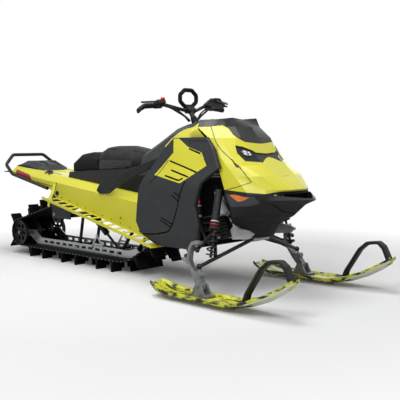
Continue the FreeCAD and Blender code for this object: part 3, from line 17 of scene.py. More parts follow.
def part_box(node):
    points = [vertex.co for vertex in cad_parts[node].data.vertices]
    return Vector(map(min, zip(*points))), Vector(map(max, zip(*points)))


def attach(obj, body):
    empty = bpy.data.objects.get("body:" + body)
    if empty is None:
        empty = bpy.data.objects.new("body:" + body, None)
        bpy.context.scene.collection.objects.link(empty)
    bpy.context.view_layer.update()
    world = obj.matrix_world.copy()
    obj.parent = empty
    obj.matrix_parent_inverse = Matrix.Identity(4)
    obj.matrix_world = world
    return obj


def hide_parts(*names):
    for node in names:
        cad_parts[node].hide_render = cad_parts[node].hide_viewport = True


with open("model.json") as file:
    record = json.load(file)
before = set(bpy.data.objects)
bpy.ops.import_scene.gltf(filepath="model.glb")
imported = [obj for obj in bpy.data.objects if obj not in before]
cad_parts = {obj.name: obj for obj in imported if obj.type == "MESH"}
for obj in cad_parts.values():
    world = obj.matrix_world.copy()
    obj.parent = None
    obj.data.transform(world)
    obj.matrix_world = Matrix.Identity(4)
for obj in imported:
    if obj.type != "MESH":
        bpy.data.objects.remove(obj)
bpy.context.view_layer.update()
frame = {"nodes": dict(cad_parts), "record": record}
NODES = frame["nodes"]
BODY_OF = {name: body for body, names in frame["record"]["behaviour"]["bodies"].items() for name in names}
SIDES = ((-1, "right"), (1, "left"))

# %% [markdown]
# ## Small tools
# Colours are written as the sRGB hex values a painter reads off a swatch, while shaders
# add up light and need linear values, so one function turns one into the other.
# Places are given forward of the ski bolts, as the machine was measured; `SHIFT` moves
# them to the frame, whose origin lies under the middle of the length. One more function adds
# a node, with its settings and its links, and every material below is made with it.

# %% Units, colours and places
SHIFT = 960


def mm(value):
    """Millimetres as metres."""
    return value / 1000


def at(x, y, z):
    """A place measured in millimetres from the ski bolt line, in the frame's metres."""
    return Vector((mm(x + SHIFT), mm(y), mm(z)))


def sideways_of(y):
    """A step across the machine, towards the rider's left for a value above zero."""
    return Vector((0, mm(y), 0))


def both(x, y, z):
    """The same place on the rider's right and left, each with its side."""
    return [(at(x, side * y, z), side) for side in (-1, 1)]


def on_side(side, places):
    """Places given for the rider's left, moved to the right for a side below zero."""
    return [at(x, side * y, z) for x, y, z in places]


def linear(code, alpha=1.0):
    """The linear colour of an sRGB hex code, as a shader needs it."""
    channels = [int(code[i : i + 2], 16) / 255 for i in (1, 3, 5)]
    return tuple(c / 12.92 if c <= 0.04045 else ((c + 0.055) / 1.055) ** 2.4 for c in channels) + (alpha,)


def add_node(tree, kind, links, **settings):
    """Adds a node with its settings, and joins or fills its inputs."""
    made = tree.nodes.new(kind)
    for name, value in settings.items():
        setattr(made, name, value)
    for socket, value in links.items():
        if isinstance(value, bpy.types.NodeSocket):
            tree.links.new(value, made.inputs[socket])
        else:
            made.inputs[socket].default_value = value
    return made


print("ski bolts at", [round(c, 2) for c in at(0, 0, 0)], "white is", linear("#FFFFFF")[:3])

# %% [markdown]
# ## Camera and light
# The photograph is taken low, from the front right, with a lens near 62 mm. A camera could
# be aimed by eye, but its place and turn come from a fit of known sizes to the picture, so
# the render lies over the photograph. Its axes are built one by one from the three turns.

# %% Camera
CAMERA_PLACE = at(2658.9, -3147.7, 867.7)
CAMERA_TURN = [math.radians(a) for a in (44.834, 4.378, -0.551)]
LENS, SENSOR, SIGHT = 61.91, 36, 60
azimuth, elevation, roll = CAMERA_TURN
backward = Vector(
    (
        math.sin(azimuth) * math.cos(elevation),
        -math.cos(azimuth) * math.cos(elevation),
        math.sin(elevation),
    )
)
level = Vector((math.cos(azimuth), math.sin(azimuth), 0))
upright = backward.cross(level)
sideways = level * math.cos(roll) + upright * math.sin(roll)
upwards = upright * math.cos(roll) - level * math.sin(roll)
camera_data = bpy.data.cameras.new("camera")
camera_data.sensor_width = SENSOR
camera_data.lens = LENS
camera_data.clip_end = SIGHT
camera = bpy.data.objects.new("camera", camera_data)
camera.matrix_world = Matrix((sideways, upwards, backward)).transposed().to_4x4()
camera.location = CAMERA_PLACE
bpy.context.scene.collection.objects.link(camera)
bpy.context.scene.camera = camera
bpy.context.scene.view_settings.view_transform = "Standard"
print("camera", [round(c, 2) for c in camera.location])

# %% [markdown]
# A white studio has a sky that the lens sees as plain white, and that lights the machine
# only a little. One background can't do both, so the kind of ray picks between two. The
# paper on the floor is matt and takes the machine's shadow, and it fades to plain white
# further out, where a real roll of paper runs out of the picture.

# %% Sky
SKY_LIGHT = 0.27
world = bpy.data.worlds.new("white_studio")
bpy.context.scene.world = world
world.use_nodes = True
sky = world.node_tree
sky.nodes.clear()
rays = add_node(sky, "ShaderNodeLightPath", {}).outputs
seen = rays["Is Camera Ray"]
for kind in ("Is Transmission Ray", "Is Glossy Ray"):
    seen = add_node(sky, "ShaderNodeMath", {0: seen, 1: rays[kind]}, operation="MAXIMUM").outputs[0]
light = add_node(sky, "ShaderNodeBackground", {"Color": linear("#F4F6FA"), "Strength": SKY_LIGHT})
white = add_node(sky, "ShaderNodeBackground", {"Color": linear("#FFFFFF"), "Strength": 1.0})
either = add_node(sky, "ShaderNodeMixShader", {0: seen, 1: light.outputs[0], 2: white.outputs[0]})
add_node(sky, "ShaderNodeOutputWorld", {"Surface": either.outputs[0]})
print("sky strength", SKY_LIGHT)

# %% Floor
FLOOR_HALF = 24
PAPER_NEAR, PAPER_FAR = 1.8, 3.0
WHITE_NEAR = 0.04
floor_mesh = bmesh.new()
bmesh.ops.create_grid(floor_mesh, x_segments=1, y_segments=1, size=FLOOR_HALF)
floor_data = bpy.data.meshes.new("floor")
floor_mesh.to_mesh(floor_data)
floor_mesh.free()
floor = bpy.data.objects.new("floor", floor_data)
bpy.context.scene.collection.objects.link(floor)
paper = bpy.data.materials.new("white_paper_floor")
paper.use_nodes = True
sheet = paper.node_tree
sheet.nodes.clear()
camera_ray = add_node(sheet, "ShaderNodeLightPath", {}).outputs["Is Camera Ray"]
place = add_node(sheet, "ShaderNodeTexCoord", {}).outputs["Object"]
distance = add_node(sheet, "ShaderNodeVectorMath", {0: place}, operation="LENGTH").outputs["Value"]
limits = {"From Min": PAPER_NEAR, "From Max": PAPER_FAR, "To Min": WHITE_NEAR, "To Max": 1.0}
fade = add_node(sheet, "ShaderNodeMapRange", {"Value": distance, **limits})
seen = add_node(sheet, "ShaderNodeMath", {0: camera_ray, 1: fade.outputs[0]}, operation="MULTIPLY")
matt = add_node(sheet, "ShaderNodeBsdfDiffuse", {"Color": linear("#E0E0E0"), "Roughness": 1.0})
glow = add_node(sheet, "ShaderNodeEmission", {"Color": linear("#FFFFFF"), "Strength": 1.0})
either = add_node(sheet, "ShaderNodeMixShader", {0: seen.outputs[0], 1: matt.outputs[0], 2: glow.outputs[0]})
add_node(sheet, "ShaderNodeOutputMaterial", {"Surface": either.outputs[0]})
floor_data.materials.append(paper)
print("floor half side", FLOOR_HALF)

# %% [markdown]
# Four square soft boxes light the machine, as in a photographer's studio: a strong one
# overhead that draws the shadow, a weak one at the nose, a strong one high on the right and
# a weak one on the left. Point lamps would be simpler, but their shadows are hard.

# %% Lamps
# each one's name, place, aim, width and power, in metres and watts
SOFT_BOXES = (
    ("top_box", (0.2, -0.6, 4.2), (0.1, 0, 0.5), 2.4, 130),
    ("front_box", (4.6, -1.6, 2.6), (0.8, 0, 0.6), 2.6, 16),
    ("side_box", (1.6, -3.4, 3.4), (0.4, 0, 0.7), 2.2, 91),
    ("left_box", (-1.2, 4.6, 2.4), (0, 0, 0.6), 2.6, 34),
)
for name, place, aim, width, power in SOFT_BOXES:
    data = bpy.data.lights.new(name, "AREA")
    data.shape = "SQUARE"
    data.size = width
    data.energy = power
    lamp = bpy.data.objects.new(name, data)
    lamp.location = place
    lamp.rotation_euler = (Vector(aim) - Vector(place)).to_track_quat("-Z", "Y").to_euler()
    bpy.context.scene.collection.objects.link(lamp)
    print(name, power, "W")

# %% [markdown]
# ## Materials
# Each one starts from what the real surface is and how it was made. Most have three faint
# patterns: a slow drift of the colour, a change of the sheen, and a grain in relief. The
# patterns read Object coordinates, which are metres here, so one over a size in metres is
# the scale that draws a pattern of that size.

# %% Material starter
def surface(name, colour, roughness, **sockets):
    """A principled surface, with its node tree, its shader and its object coordinates."""
    made = bpy.data.materials.new(name)
    made.use_nodes = True
    tree = made.node_tree
    tree.nodes.clear()
    values = {"Base Color": linear(colour), "Roughness": roughness}
    shader = add_node(tree, "ShaderNodeBsdfPrincipled", values)
    for socket, value in sockets.items():
        shader.inputs[socket.replace("_", " ")].default_value = value
    add_node(tree, "ShaderNodeOutputMaterial", {"Surface": shader.outputs[0]})
    return made, tree, shader, add_node(tree, "ShaderNodeTexCoord", {}).outputs["Object"]


PATTERN_LOW, PATTERN_HIGH = 0.3, 0.7


def lay_on(tree, shader, socket, source, first, second=None):
    """Lets a pattern mix two colours, move the roughness between two values or stand in relief."""
    if socket == "Base Color":
        made = add_node(tree, "ShaderNodeValToRGB", {"Fac": source})
        ends = zip(made.color_ramp.elements, (PATTERN_LOW, PATTERN_HIGH), (first, second))
        for element, share, code in ends:
            element.position = share
            element.color = linear(code)
    elif socket == "Roughness":
        limits = {"From Min": PATTERN_LOW, "From Max": PATTERN_HIGH, "To Min": first, "To Max": second}
        made = add_node(tree, "ShaderNodeMapRange", {"Value": source, **limits})
    else:
        made = add_node(tree, "ShaderNodeBump", {"Height": source, "Distance": mm(first), "Strength": 1.0})
    tree.links.new(made.outputs[0], shader.inputs[socket])


def finish(name, colour, roughness, drift=None, sheen=None, grain=None, **sockets):
    """A surface with soft patterns, each given as its size, its detail and what it does."""
    made, tree, shader, place = surface(name, colour, roughness, **sockets)
    for socket, pattern in (("Base Color", drift), ("Roughness", sheen), ("Normal", grain)):
        if pattern:
            size, detail, *effect = pattern
            facts = {"Vector": place, "Scale": 1 / mm(size), "Detail": detail, "Roughness": 0.5}
            noise = add_node(tree, "ShaderNodeTexNoise", facts)
            lay_on(tree, shader, socket, noise.outputs[0], *effect)
    print("material", name)
    return made


# %% [markdown]
# The bright areas are acid yellow. On the covers it is colour-through plastic with a clear
# coat, and on the tunnel it is powder coat over sheet aluminium: the same hue, but the coat
# carries a faint orange peel. A principled surface with a thin coat gives both.

# %% Yellow finishes
# injection moulded plastic: the eye sees a slow drift of the hue and gently bent highlights
yellow_cover = finish(
    "yellow_moulded_cover", "#CBC627", 0.42, drift=(420, 2, "#C7C223", "#CFCA2B"), grain=(60, 2, 0.12),
    Coat_Weight=0.2, Coat_Roughness=0.3,
)
# baked powder on sheet aluminium: orange peel softens every reflection
yellow_tunnel = finish(
    "yellow_powder_coat", "#C9C426", 0.42, drift=(300, 2, "#C4BF20", "#CEC92C"), grain=(2.2, 2, 0.05),
    Coat_Weight=0.25, Coat_Roughness=0.3,
)

# %% [markdown]
# The covers in between are moulded from dark grey plastic. Its tool is etched, so the
# surface has a fine grain that breaks the highlight into a dull sheen. Rubber is darker and
# duller still, because soot fills it and nothing polishes it.

# %% Dark plastics
# etched polypropylene: a dull even sheen
dark_plastic = finish(
    "dark_moulded_plastic", "#1E2022", 0.55, drift=(260, 2, "#1C1E20", "#222426"), sheen=(35, 3, 0.5, 0.62),
    grain=(1.4, 2, 0.06), Specular_IOR_Level=0.35,
)
# the same plastic in black, for what lies low
pan_plastic = finish(
    "darker_pan_plastic", "#101112", 0.55, drift=(260, 2, "#0E0F10", "#131415"), grain=(1.4, 2, 0.06),
    Specular_IOR_Level=0.3,
)
# the same plastic painted lighter and bluish: a painted reflection on the facet round the side lens and a
# painted highlight in the stays' grooves
painted_highlight_plastic = finish("blue_grey_painted_highlight", "#383D44", 0.5, grain=(1.4, 2, 0.06), Specular_IOR_Level=0.35)
# the bottom of a joint or notch between two mouldings, where hardly any light comes
joint_shadow = finish(
    "joint_shadow", "#020202", 0.9, drift=(40, 1, "#010101", "#040404"), Specular_IOR_Level=0.05
)
# smoked polycarbonate: its slight ripple bends the reflections
glass_plastic = finish("smoked_windshield", "#0E0F11", 0.42, grain=(80, 1, 0.1), Specular_IOR_Level=0.35)

# %% Rubbers
# vulcanised rubber: patchy and almost without a highlight
track_rubber = finish(
    "track_rubber", "#0B0B0C", 0.7, drift=(90, 3, "#070708", "#101112"), sheen=(18, 3, 0.62, 0.8),
    grain=(3, 3, 0.12), Specular_IOR_Level=0.12,
)
# foamed rubber of the grips, boots and hose skins: velvety and black
grip_rubber = finish("soft_grip_rubber", "#0F1011", 0.66, grain=(1.0, 2, 0.08), Specular_IOR_Level=0.2)
# cast polyurethane of the wheels: smoother, polished in spots by the track
wheel_plastic = finish(
    "wheel_polyurethane", "#101113", 0.45, sheen=(14, 3, 0.36, 0.52), Specular_IOR_Level=0.25
)

# %% [markdown]
# The legs, saddles and brackets are cast or pressed aluminium, blasted to a soft grey.
# The rails are extruded and brighter, the axles are turned steel, and the thin tubes wear a
# baked satin black. The legs aren't fully metallic here: oxide and dust dull them.

# %% Metals
# blasted casting: a pale grey skin with fine pits
cast_aluminium = finish(
    "blasted_cast_aluminium", "#B0B2B4", 0.5, sheen=(9, 3, 0.45, 0.6), grain=(1.1, 3, 0.07), Metallic=0.7
)
# the legs' darker casting, blotched by handling
leg_casting = finish(
    "weathered_leg_casting", "#77797B", 0.55, drift=(38, 3, "#67696B", "#8A8C8E"), grain=(1.1, 3, 0.07),
    Metallic=0.6,
)
# extruded rail: clean metal with long changes of its sheen
rail_aluminium = finish("extruded_aluminium", "#A9ABAD", 0.36, sheen=(40, 3, 0.27, 0.4), Metallic=1.0)
# turned axles and pressed clips: sharp small highlights
plain_steel = finish("machined_steel", "#8F9194", 0.3, sheen=(6, 3, 0.26, 0.38), Metallic=1.0)
# electrophoretic coat of the arms and tubes: a thin line of light along each tube
black_coat = finish("satin_black_coat", "#0E0F10", 0.4, grain=(2.0, 2, 0.04), Specular_IOR_Level=0.3)
# anodised adjusters: metal that shines through the dye
red_metal = finish("red_anodised", "#A51410", 0.3, sheen=(5, 3, 0.26, 0.36), Metallic=0.7)

# %% [markdown]
# Small coloured parts finish the covers: black and clear film, amber and red reflectors, and
# lamp clusters of bright cups behind a clear lens. Glass over modelled cups would be truer
# and noisier to render, so a cell pattern under a clear coat draws the cups.

# %% Films and lenses
# gloss film cut to shape: the stripes and the frames of the lamps
black_paint = finish("black_gloss_film", "#08090A", 0.36, sheen=(50, 3, 0.32, 0.42), Specular_IOR_Level=0.35)
# clear film against scuffs, yellowed to a pale patch
pale_film = finish("pale_protective_film", "#D9D8C8", 0.35, sheen=(20, 3, 0.3, 0.42))
# moulded reflectors: fine prisms break up the light
amber = finish("amber_reflector", "#E0741E", 0.2, grain=(3, 0, 0.3), Coat_Weight=0.4)
red_lens = finish("red_reflector", "#8E0F10", 0.35, grain=(3, 0, 0.3), Specular_IOR_Level=0.3)

# the cups and the dark walls between them, about 17 mm apart
CUP_SIZE, CUP_DEPTH = 17, 2
lamp_white, tree, shader, place = surface(
    "clear_lamp_cluster", "#D4D8DC", 0.15, Coat_Weight=1.0, Coat_Roughness=0.03
)
cups = add_node(tree, "ShaderNodeTexVoronoi", {"Vector": place, "Scale": 1 / mm(CUP_SIZE)}, feature="F1")
lay_on(tree, shader, "Base Color", cups.outputs["Distance"], "#D0D4D8", "#34383E")
lay_on(tree, shader, "Normal", cups.outputs["Distance"], CUP_DEPTH)

# %% [markdown]
# The cushion's cover is grained vinyl over foam, and its grain is a network of small cells.
# The lower band is crimped into folds, painted darker in their troughs as painted shade and
# lighter on their crests as a painted highlight. The strap and the bag are woven webbing, which a
# slanting wave stands for. The skis are printed with long irregular patches: noise is
# stretched along the ski and cut into flat colours, which repeats nowhere.

# %% Vinyl and webbing
VINYL_CELL, VINYL_DEPTH = 1.6, 0.12
FOLD_SIZE, FOLD_DEPTH = 14, 5
WEAVE_SIZE, WEAVE_DEPTH = 9, 0.4
seat_vinyl, tree, shader, place = surface("grained_seat_vinyl", "#141516", 0.6, Specular_IOR_Level=0.25)
facts = {"Vector": place, "Scale": 1 / mm(VINYL_CELL)}
cells = add_node(tree, "ShaderNodeTexVoronoi", facts, feature="DISTANCE_TO_EDGE")
lay_on(tree, shader, "Normal", cells.outputs[0], VINYL_DEPTH)

quilted_vinyl, tree, shader, place = surface("crimped_band_painted_shading", "#222325", 0.45, Specular_IOR_Level=0.35)
facts = {"Vector": place, "Scale": 1 / mm(FOLD_SIZE), "Detail": 3.0, "Roughness": 0.6}
folds = add_node(tree, "ShaderNodeTexNoise", facts).outputs[0]
# the folds' colour follows their height: painted shade in the troughs and a painted highlight on the crests
lay_on(tree, shader, "Base Color", folds, "#101112", "#38393B")
lay_on(tree, shader, "Normal", folds, FOLD_DEPTH)

# a real weave is near 2 mm and would not show at this distance, so it is drawn coarser
strap_webbing, tree, shader, place = surface("woven_webbing", "#121314", 0.8, Specular_IOR_Level=0.15)
facts = {"Vector": place, "Scale": 1 / mm(WEAVE_SIZE), "Distortion": 0.0}
weave = add_node(tree, "ShaderNodeTexWave", facts, bands_direction="DIAGONAL")
lay_on(tree, shader, "Normal", weave.outputs[0], WEAVE_DEPTH)

# %% Skis
PATCH_SIZE, PATCH_STRETCH = 34, 0.42
PRINT_COLOURS = (
    (0, "#101112"), (0.455, "#7F8426"), (0.495, "#BDBF2C"),
    (0.58, "#D6D84A"), (0.635, "#3A3C38"), (0.66, "#1A1B1C"),
)
ski_shell, tree, shader, place = surface("printed_ski_plastic", "#B9BB2A", 0.42)
stretched = add_node(tree, "ShaderNodeMapping", {"Vector": place, "Scale": (PATCH_STRETCH, 1.0, 1.0)})
facts = {"Vector": stretched.outputs[0], "Scale": 1 / mm(PATCH_SIZE), "Detail": 4.0, "Roughness": 0.62}
patches = add_node(tree, "ShaderNodeTexNoise", facts)
ramp = add_node(tree, "ShaderNodeValToRGB", {"Fac": patches.outputs[0]})
colours = ramp.color_ramp
colours.interpolation = "CONSTANT"
colours.elements.remove(colours.elements[1])
for share, code in PRINT_COLOURS:
    band = colours.elements.new(share) if share else colours.elements[0]
    band.color = linear(code)
tree.links.new(ramp.outputs[0], shader.inputs["Base Color"])
print("ski print of", len(colours.elements), "colours")

# the underside is the bare moulding: pale, with a trace of flow in its skin
bare_ski = finish("bare_ski_plastic", "#D4D6C4", 0.5, grain=(4, 3, 0.1))

# %% [markdown]
# ## Rounded mouldings
# The frame's covers come as sharp facets. The real ones are moulded, so each edge carries a
# small radius that catches a line of light. A bevel modifier on the node could do that, but
# a copy can also be cut and painted. `dressed` takes a copy of a solid's mesh, merges it,
# removes the cuts between facets that lie in one plane, changes and rounds it, and marks it.

# %% Dressing a solid
SMOOTH_ANGLE = 38
MERGE = 0.01


def shaded(mesh, name, body, materials, sharp=SMOOTH_ANGLE):
    """Turns a bmesh into a piece that rides on a body, smooth but for its sharp edges."""
    bmesh.ops.recalc_face_normals(mesh, faces=mesh.faces)
    for face in mesh.faces:
        face.smooth = True
    for edge in mesh.edges:
        edge.smooth = len(edge.link_faces) == 2 and edge.calc_face_angle(0) < math.radians(sharp)
    data = bpy.data.meshes.new(name)
    mesh.to_mesh(data)
    mesh.free()
    for material in materials:
        data.materials.append(material)
    made = bpy.data.objects.new(name, data)
    bpy.context.scene.collection.objects.link(made)
    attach(made, body)
    print(name, "faces", len(data.polygons))
    return made


def solid_copy(node, flat=1.0):
    """A merged copy of a frame solid's mesh, without the cuts between its flat facets."""
    mesh = bmesh.new()
    mesh.from_mesh(NODES[node].data)
    bmesh.ops.remove_doubles(mesh, verts=mesh.verts, dist=mm(MERGE))
    bmesh.ops.dissolve_limit(mesh, angle_limit=math.radians(flat), verts=mesh.verts, edges=mesh.edges)
    return mesh


def rounded(mesh, radius, segments=2, angle=12):
    """Rounds the edges that are sharper than an angle."""
    sharp = [e for e in mesh.edges if len(e.link_faces) == 2 and e.calc_face_angle(0) > math.radians(angle)]
    bmesh.ops.bevel(
        mesh, geom=sharp, offset=mm(radius), segments=segments, profile=0.5, affect="EDGES", material=-1,
        clamp_overlap=True,
    )


def dressed(node, radius, materials, segments=2, angle=12, shape=None, marks=None):
    """A rounded copy of a solid that stands for it, changed before its rounding and marked after it."""
    mesh = solid_copy(node)
    if shape:
        shape(mesh)
    rounded(mesh, radius, segments, angle)
    if marks:
        marks(mesh)
    made = shaded(mesh, node + "_finished", BODY_OF[node], materials)
    # the shading of the narrow rounds leans on the broad faces beside them
    broad = made.modifiers.new("broad_faces", "WEIGHTED_NORMAL")
    broad.keep_sharp = True
    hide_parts(node)
    return made


# %% [markdown]
# Painted areas, panel lines and pockets are drawn as outlines over one view of the machine.
# `region` cuts the faces that look that way along the outline and gives back those inside
# it. Painting sets their material, and a pocket pushes them into the moulding, as the tool
# that shaped the real cover does. An image map could carry them, but would blur up close.

# %% Regions
# for each view, the axis across, the axis up and the axis of depth
VIEWS = {"side": (0, 2, 1), "top": (0, 1, 2), "front": (1, 2, 0)}
FACING = 0.15
CUT_MERGE = 0.02


def inside(a, b, corners):
    """Whether a place in a view lies in an outline."""
    hit = False
    for (xa, za), (xb, zb) in zip(corners, corners[1:] + corners[:1]):
        if (za > b) != (zb > b) and a < xa + (xb - xa) * (b - za) / (zb - za):
            hit = not hit
    return hit


def region(mesh, outline, view="side"):
    """Cuts the outward faces along an outline and returns the faces inside it."""
    across, up, depth = VIEWS[view]
    corners = [(mm(a + (SHIFT if across == 0 else 0)), mm(b)) for a, b in outline]

    def near(face):
        centre = face.calc_center_median()
        outward = face.normal[depth] * (centre.y if view == "side" else 1)
        if outward <= 0 or abs(face.normal[depth]) < FACING:
            return False
        return all(
            max(v.co[axis] for v in face.verts) > min(c[part] for c in corners)
            and min(v.co[axis] for v in face.verts) < max(c[part] for c in corners)
            for part, axis in enumerate((across, up))
        )

    for (xa, za), (xb, zb) in zip(corners, corners[1:] + corners[:1]):
        mesh.normal_update()
        faces = [f for f in mesh.faces if near(f)]
        edges = list(dict.fromkeys(e for f in faces for e in f.edges))
        verts = list(dict.fromkeys(v for f in faces for v in f.verts))
        place = Vector((0, 0, 0))
        place[across], place[up] = xa, za
        square = Vector((0, 0, 0))
        square[across], square[up] = zb - za, xa - xb
        bmesh.ops.bisect_plane(
            mesh, geom=faces + edges + verts, dist=mm(CUT_MERGE), plane_co=place, plane_no=square
        )
    mesh.normal_update()
    found = []
    for face in mesh.faces:
        centre = face.calc_center_median()
        if near(face) and inside(centre[across], centre[up], corners):
            found.append(face)
    return found


# %% Paint, pockets and grooves
def paint(mesh, outline, index, view="side"):
    """Gives the faces inside an outline another of the piece's materials."""
    for face in region(mesh, outline, view):
        face.material_index = index


def stroke(points, width):
    """The outlines of a line's runs in a view."""
    runs = []
    for (xa, za), (xb, zb) in zip(points, points[1:]):
        length = math.hypot(xb - xa, zb - za)
        sx, sz = (za - zb) / length * width / 2, (xb - xa) / length * width / 2
        runs.append([(xa - sx, za - sz), (xb - sx, zb - sz), (xb + sx, zb + sz), (xa + sx, za + sz)])
    return runs


def pocket(mesh, outline, depth, index=None, view="side"):
    """Pushes a region of the faces into the moulding, or proud of it for a depth below zero."""
    faces = region(mesh, outline, view)
    made = bmesh.ops.extrude_face_region(mesh, geom=faces)["geom"]
    axis = VIEWS[view][2]
    for item in made:
        if isinstance(item, bmesh.types.BMVert):
            way = (1 if item.co.y > 0 else -1) if view == "side" else 1
            item.co[axis] -= way * mm(depth)
        elif isinstance(item, bmesh.types.BMFace) and index is not None:
            item.material_index = index
    # the extrusion keeps the faces it started from, which would close the pocket again
    bmesh.ops.delete(mesh, geom=[f for f in faces if f.is_valid], context="FACES")


def groove(mesh, points, width, depth, index=None, view="side"):
    """Cuts a narrow channel along a line."""
    for outline in stroke(points, width):
        pocket(mesh, outline, depth, index, view)


def skin_patch(mesh, node, outline, proud):
    """A lens or pad of its own that stands proud of a node's skin inside an outline."""
    skin = solid_copy(node)
    kept = set(region(skin, outline))
    bmesh.ops.delete(skin, geom=[f for f in skin.faces if f not in kept], context="FACES")
    made = bmesh.ops.extrude_face_region(skin, geom=skin.faces, use_keep_orig=True)["geom"]
    for item in made:
        if isinstance(item, bmesh.types.BMVert):
            item.co.y += math.copysign(mm(proud), item.co.y)
    patch = bpy.data.meshes.new("patch")
    skin.to_mesh(patch)
    skin.free()
    mesh.from_mesh(patch)
    bpy.data.meshes.remove(patch)


# %% [markdown]
# ## Covers
# The hood and the cheeks are large moulded covers of acid yellow plastic that meet in
# fine joints. The black stripes and the yellow field on the side panels are in the paint,
# so they are regions of the same skin and follow its facets. Wording is left off.

# %% Hood
# the joint that parts the cheek cover from the hood, and the slim vent on it, whose opening is painted black
# as painted shade
CHEEK_JOINT = [
    (-172, 990), (-110, 927), (-82, 886), (-51, 850), (15, 797),
    (77, 750), (123, 710), (156, 670), (86, 643), (1, 624),
]
CHEEK_VENT = [(6, 806), (24, 796), (74, 750), (56, 752)]
NOSE_SCOOP = [(-34, 700), (34, 700), (22, 664), (-22, 664)]
SCOOP_DEPTH, VENT_DEPTH = 2.5, 3


def shape_hood(mesh):
    """The shallow scoop on the nose, below the lamp band."""
    pocket(mesh, NOSE_SCOOP, SCOOP_DEPTH, view="front")


def mark_cheek_joint(mesh):
    """Draws the black joint of the cheek cover, and its vent painted black as painted shade."""
    groove(mesh, CHEEK_JOINT, 4, 1.5, 1)
    pocket(mesh, CHEEK_VENT, VENT_DEPTH, 1)


dressed("hood", 2.5, [yellow_cover, black_paint], shape=shape_hood, marks=mark_cheek_joint)
dressed("cheeks", 2.5, [yellow_cover, black_paint], marks=mark_cheek_joint)

# %% Windshield and lamps
EAR_BASE, EAR_INNER, EAR_OUTER, EAR_RISE = 1030, 80, 140, 8
LAMP_SHARE = 0.8


def shape_windshield(mesh):
    """Raises the two ears at the rear edge of the screen, beside a shallow dip."""
    for vert in mesh.verts:
        if vert.co.z > mm(EAR_BASE) and mm(EAR_INNER) < abs(vert.co.y) < mm(EAR_OUTER):
            vert.co.z += mm(EAR_RISE)


def shrink_lamps(mesh):
    """Each cluster is smaller than its housing, which leaves a dark frame round it."""
    for side in (-1, 1):
        verts = [v for v in mesh.verts if v.co.y * side > 0]
        centre = sum((v.co for v in verts), Vector()) / len(verts)
        for vert in verts:
            vert.co.y = centre.y + (vert.co.y - centre.y) * LAMP_SHARE
            vert.co.z = centre.z + (vert.co.z - centre.z) * LAMP_SHARE


dressed("windshield", 2, [glass_plastic], shape=shape_windshield)
dressed("hood_skirt", 2, [pan_plastic])
dressed("lamp_housings", 2, [black_paint])
dressed("head_lamps", 1, [lamp_white], shape=shrink_lamps)

# %% [markdown]
# The side panel is one dark moulding with a painted field, four black stripes, an air inlet
# and the joint of a door that comes off for service. The paint has no thickness, so it is
# only another material; the joint and the notches are cut in, and their bottoms are near
# black, because hardly any light gets down there.

# %% Console and side panels
CONSOLE_STRIP = [
    (-240, 1012), (-373, 987), (-434, 978), (-508, 958), (-588, 925),
    (-652, 880), (-640, 850), (-560, 850), (-240, 850),
]
PANEL_FIELD = [
    (-415, 922), (-368, 922), (-283, 872), (-168, 838), (-115, 762), (-317, 655), (-556, 700), (-402, 839)
]
PANEL_STRIPES = (
    [(-430, 788), (-190, 722)],
    [(-410, 732), (-251, 693)],
    [(-458, 698), (-330, 671), (-295, 686)],
    [(-272, 861), (-175, 831)],
)
PANEL_VENT = [(-300, 908), (-130, 908), (-93, 852), (-146, 800)]
# a crease between two facets, drawn as a narrow groove whose floor is painted shade
PANEL_EDGE = [(-582, 649), (-497, 731), (-441, 793)]
DOOR_JOINT = [
    (-275, 668), (-320, 571), (-335, 510), (-381, 402), (-407, 368), (-427, 354), (-540, 332), (-675, 321)
]
DOOR_NOTCHES = (
    [(-362, 598), (-302, 568)],
    [(-385, 585), (-321, 541)],
    [(-482, 439), (-375, 401)],
    [(-493, 425), (-389, 382)],
)
STRIPE_WIDTH, INLET_DEPTH = 10, 4


def mark_console(mesh):
    """Paints the console's yellow sides."""
    paint(mesh, CONSOLE_STRIP, 1)


def shape_panel(mesh):
    """Sinks the air inlet."""
    pocket(mesh, PANEL_VENT, INLET_DEPTH)


def mark_panel(mesh):
    """Paints the field and its stripes, and cuts the door's joint and its finger notches."""
    paint(mesh, PANEL_FIELD, 1)
    for line in PANEL_STRIPES:
        for outline in stroke(line, STRIPE_WIDTH):
            paint(mesh, outline, 2)
    groove(mesh, DOOR_JOINT, 9, 3, 2)
    groove(mesh, PANEL_EDGE, 5, 2, 2)
    for line in DOOR_NOTCHES:
        groove(mesh, line, 8, 3, 2)


dressed("console", 4, [dark_plastic, yellow_cover], marks=mark_console)
for node in ("side_panel_right", "side_panel_left"):
    dressed(node, 3, [dark_plastic, yellow_cover, joint_shadow], shape=shape_panel, marks=mark_panel)

# %% [markdown]
# The nose pan closes the front below the hood. Round an amber reflector, a facet of the pan
# is painted a lighter bluish grey as a painted reflection. The reflector is a lens of its own:
# `skin_patch` lifts it off the pan's skin, so it follows the same curve and stands a little
# proud, as the real one does in its seat.

# %% Nose pan
PAN_PANEL = [(262, 552), (268, 500), (300, 486), (372, 493), (415, 520)]
PAN_SEAM = [(60, 470), (240, 478)]
# the facet round the lens, painted lighter as a painted reflection
LENS_FACET_REFLECTION = [(3, 603), (188, 592), (212, 556), (150, 536), (38, 528)]
AMBER_LENS = [(31, 596), (61, 601), (160, 585), (121, 566), (93, 559)]
LENS_PROUD = 3


def mark_pan(mesh):
    """Paints a reflection on the facet round the lens, and cuts the joints of the pan."""
    paint(mesh, LENS_FACET_REFLECTION, 1)
    groove(mesh, PAN_PANEL, 6, 2.5, 2)
    groove(mesh, PAN_SEAM, 5, 2.5)


dressed("nose_pan", 3, [pan_plastic, painted_highlight_plastic, joint_shadow], marks=mark_pan)
lens_mesh = bmesh.new()
skin_patch(lens_mesh, "nose_pan", AMBER_LENS, LENS_PROUD)
amber_lenses = shaded(lens_mesh, "amber_lenses", "chassis", [amber])
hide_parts("side_reflectors")

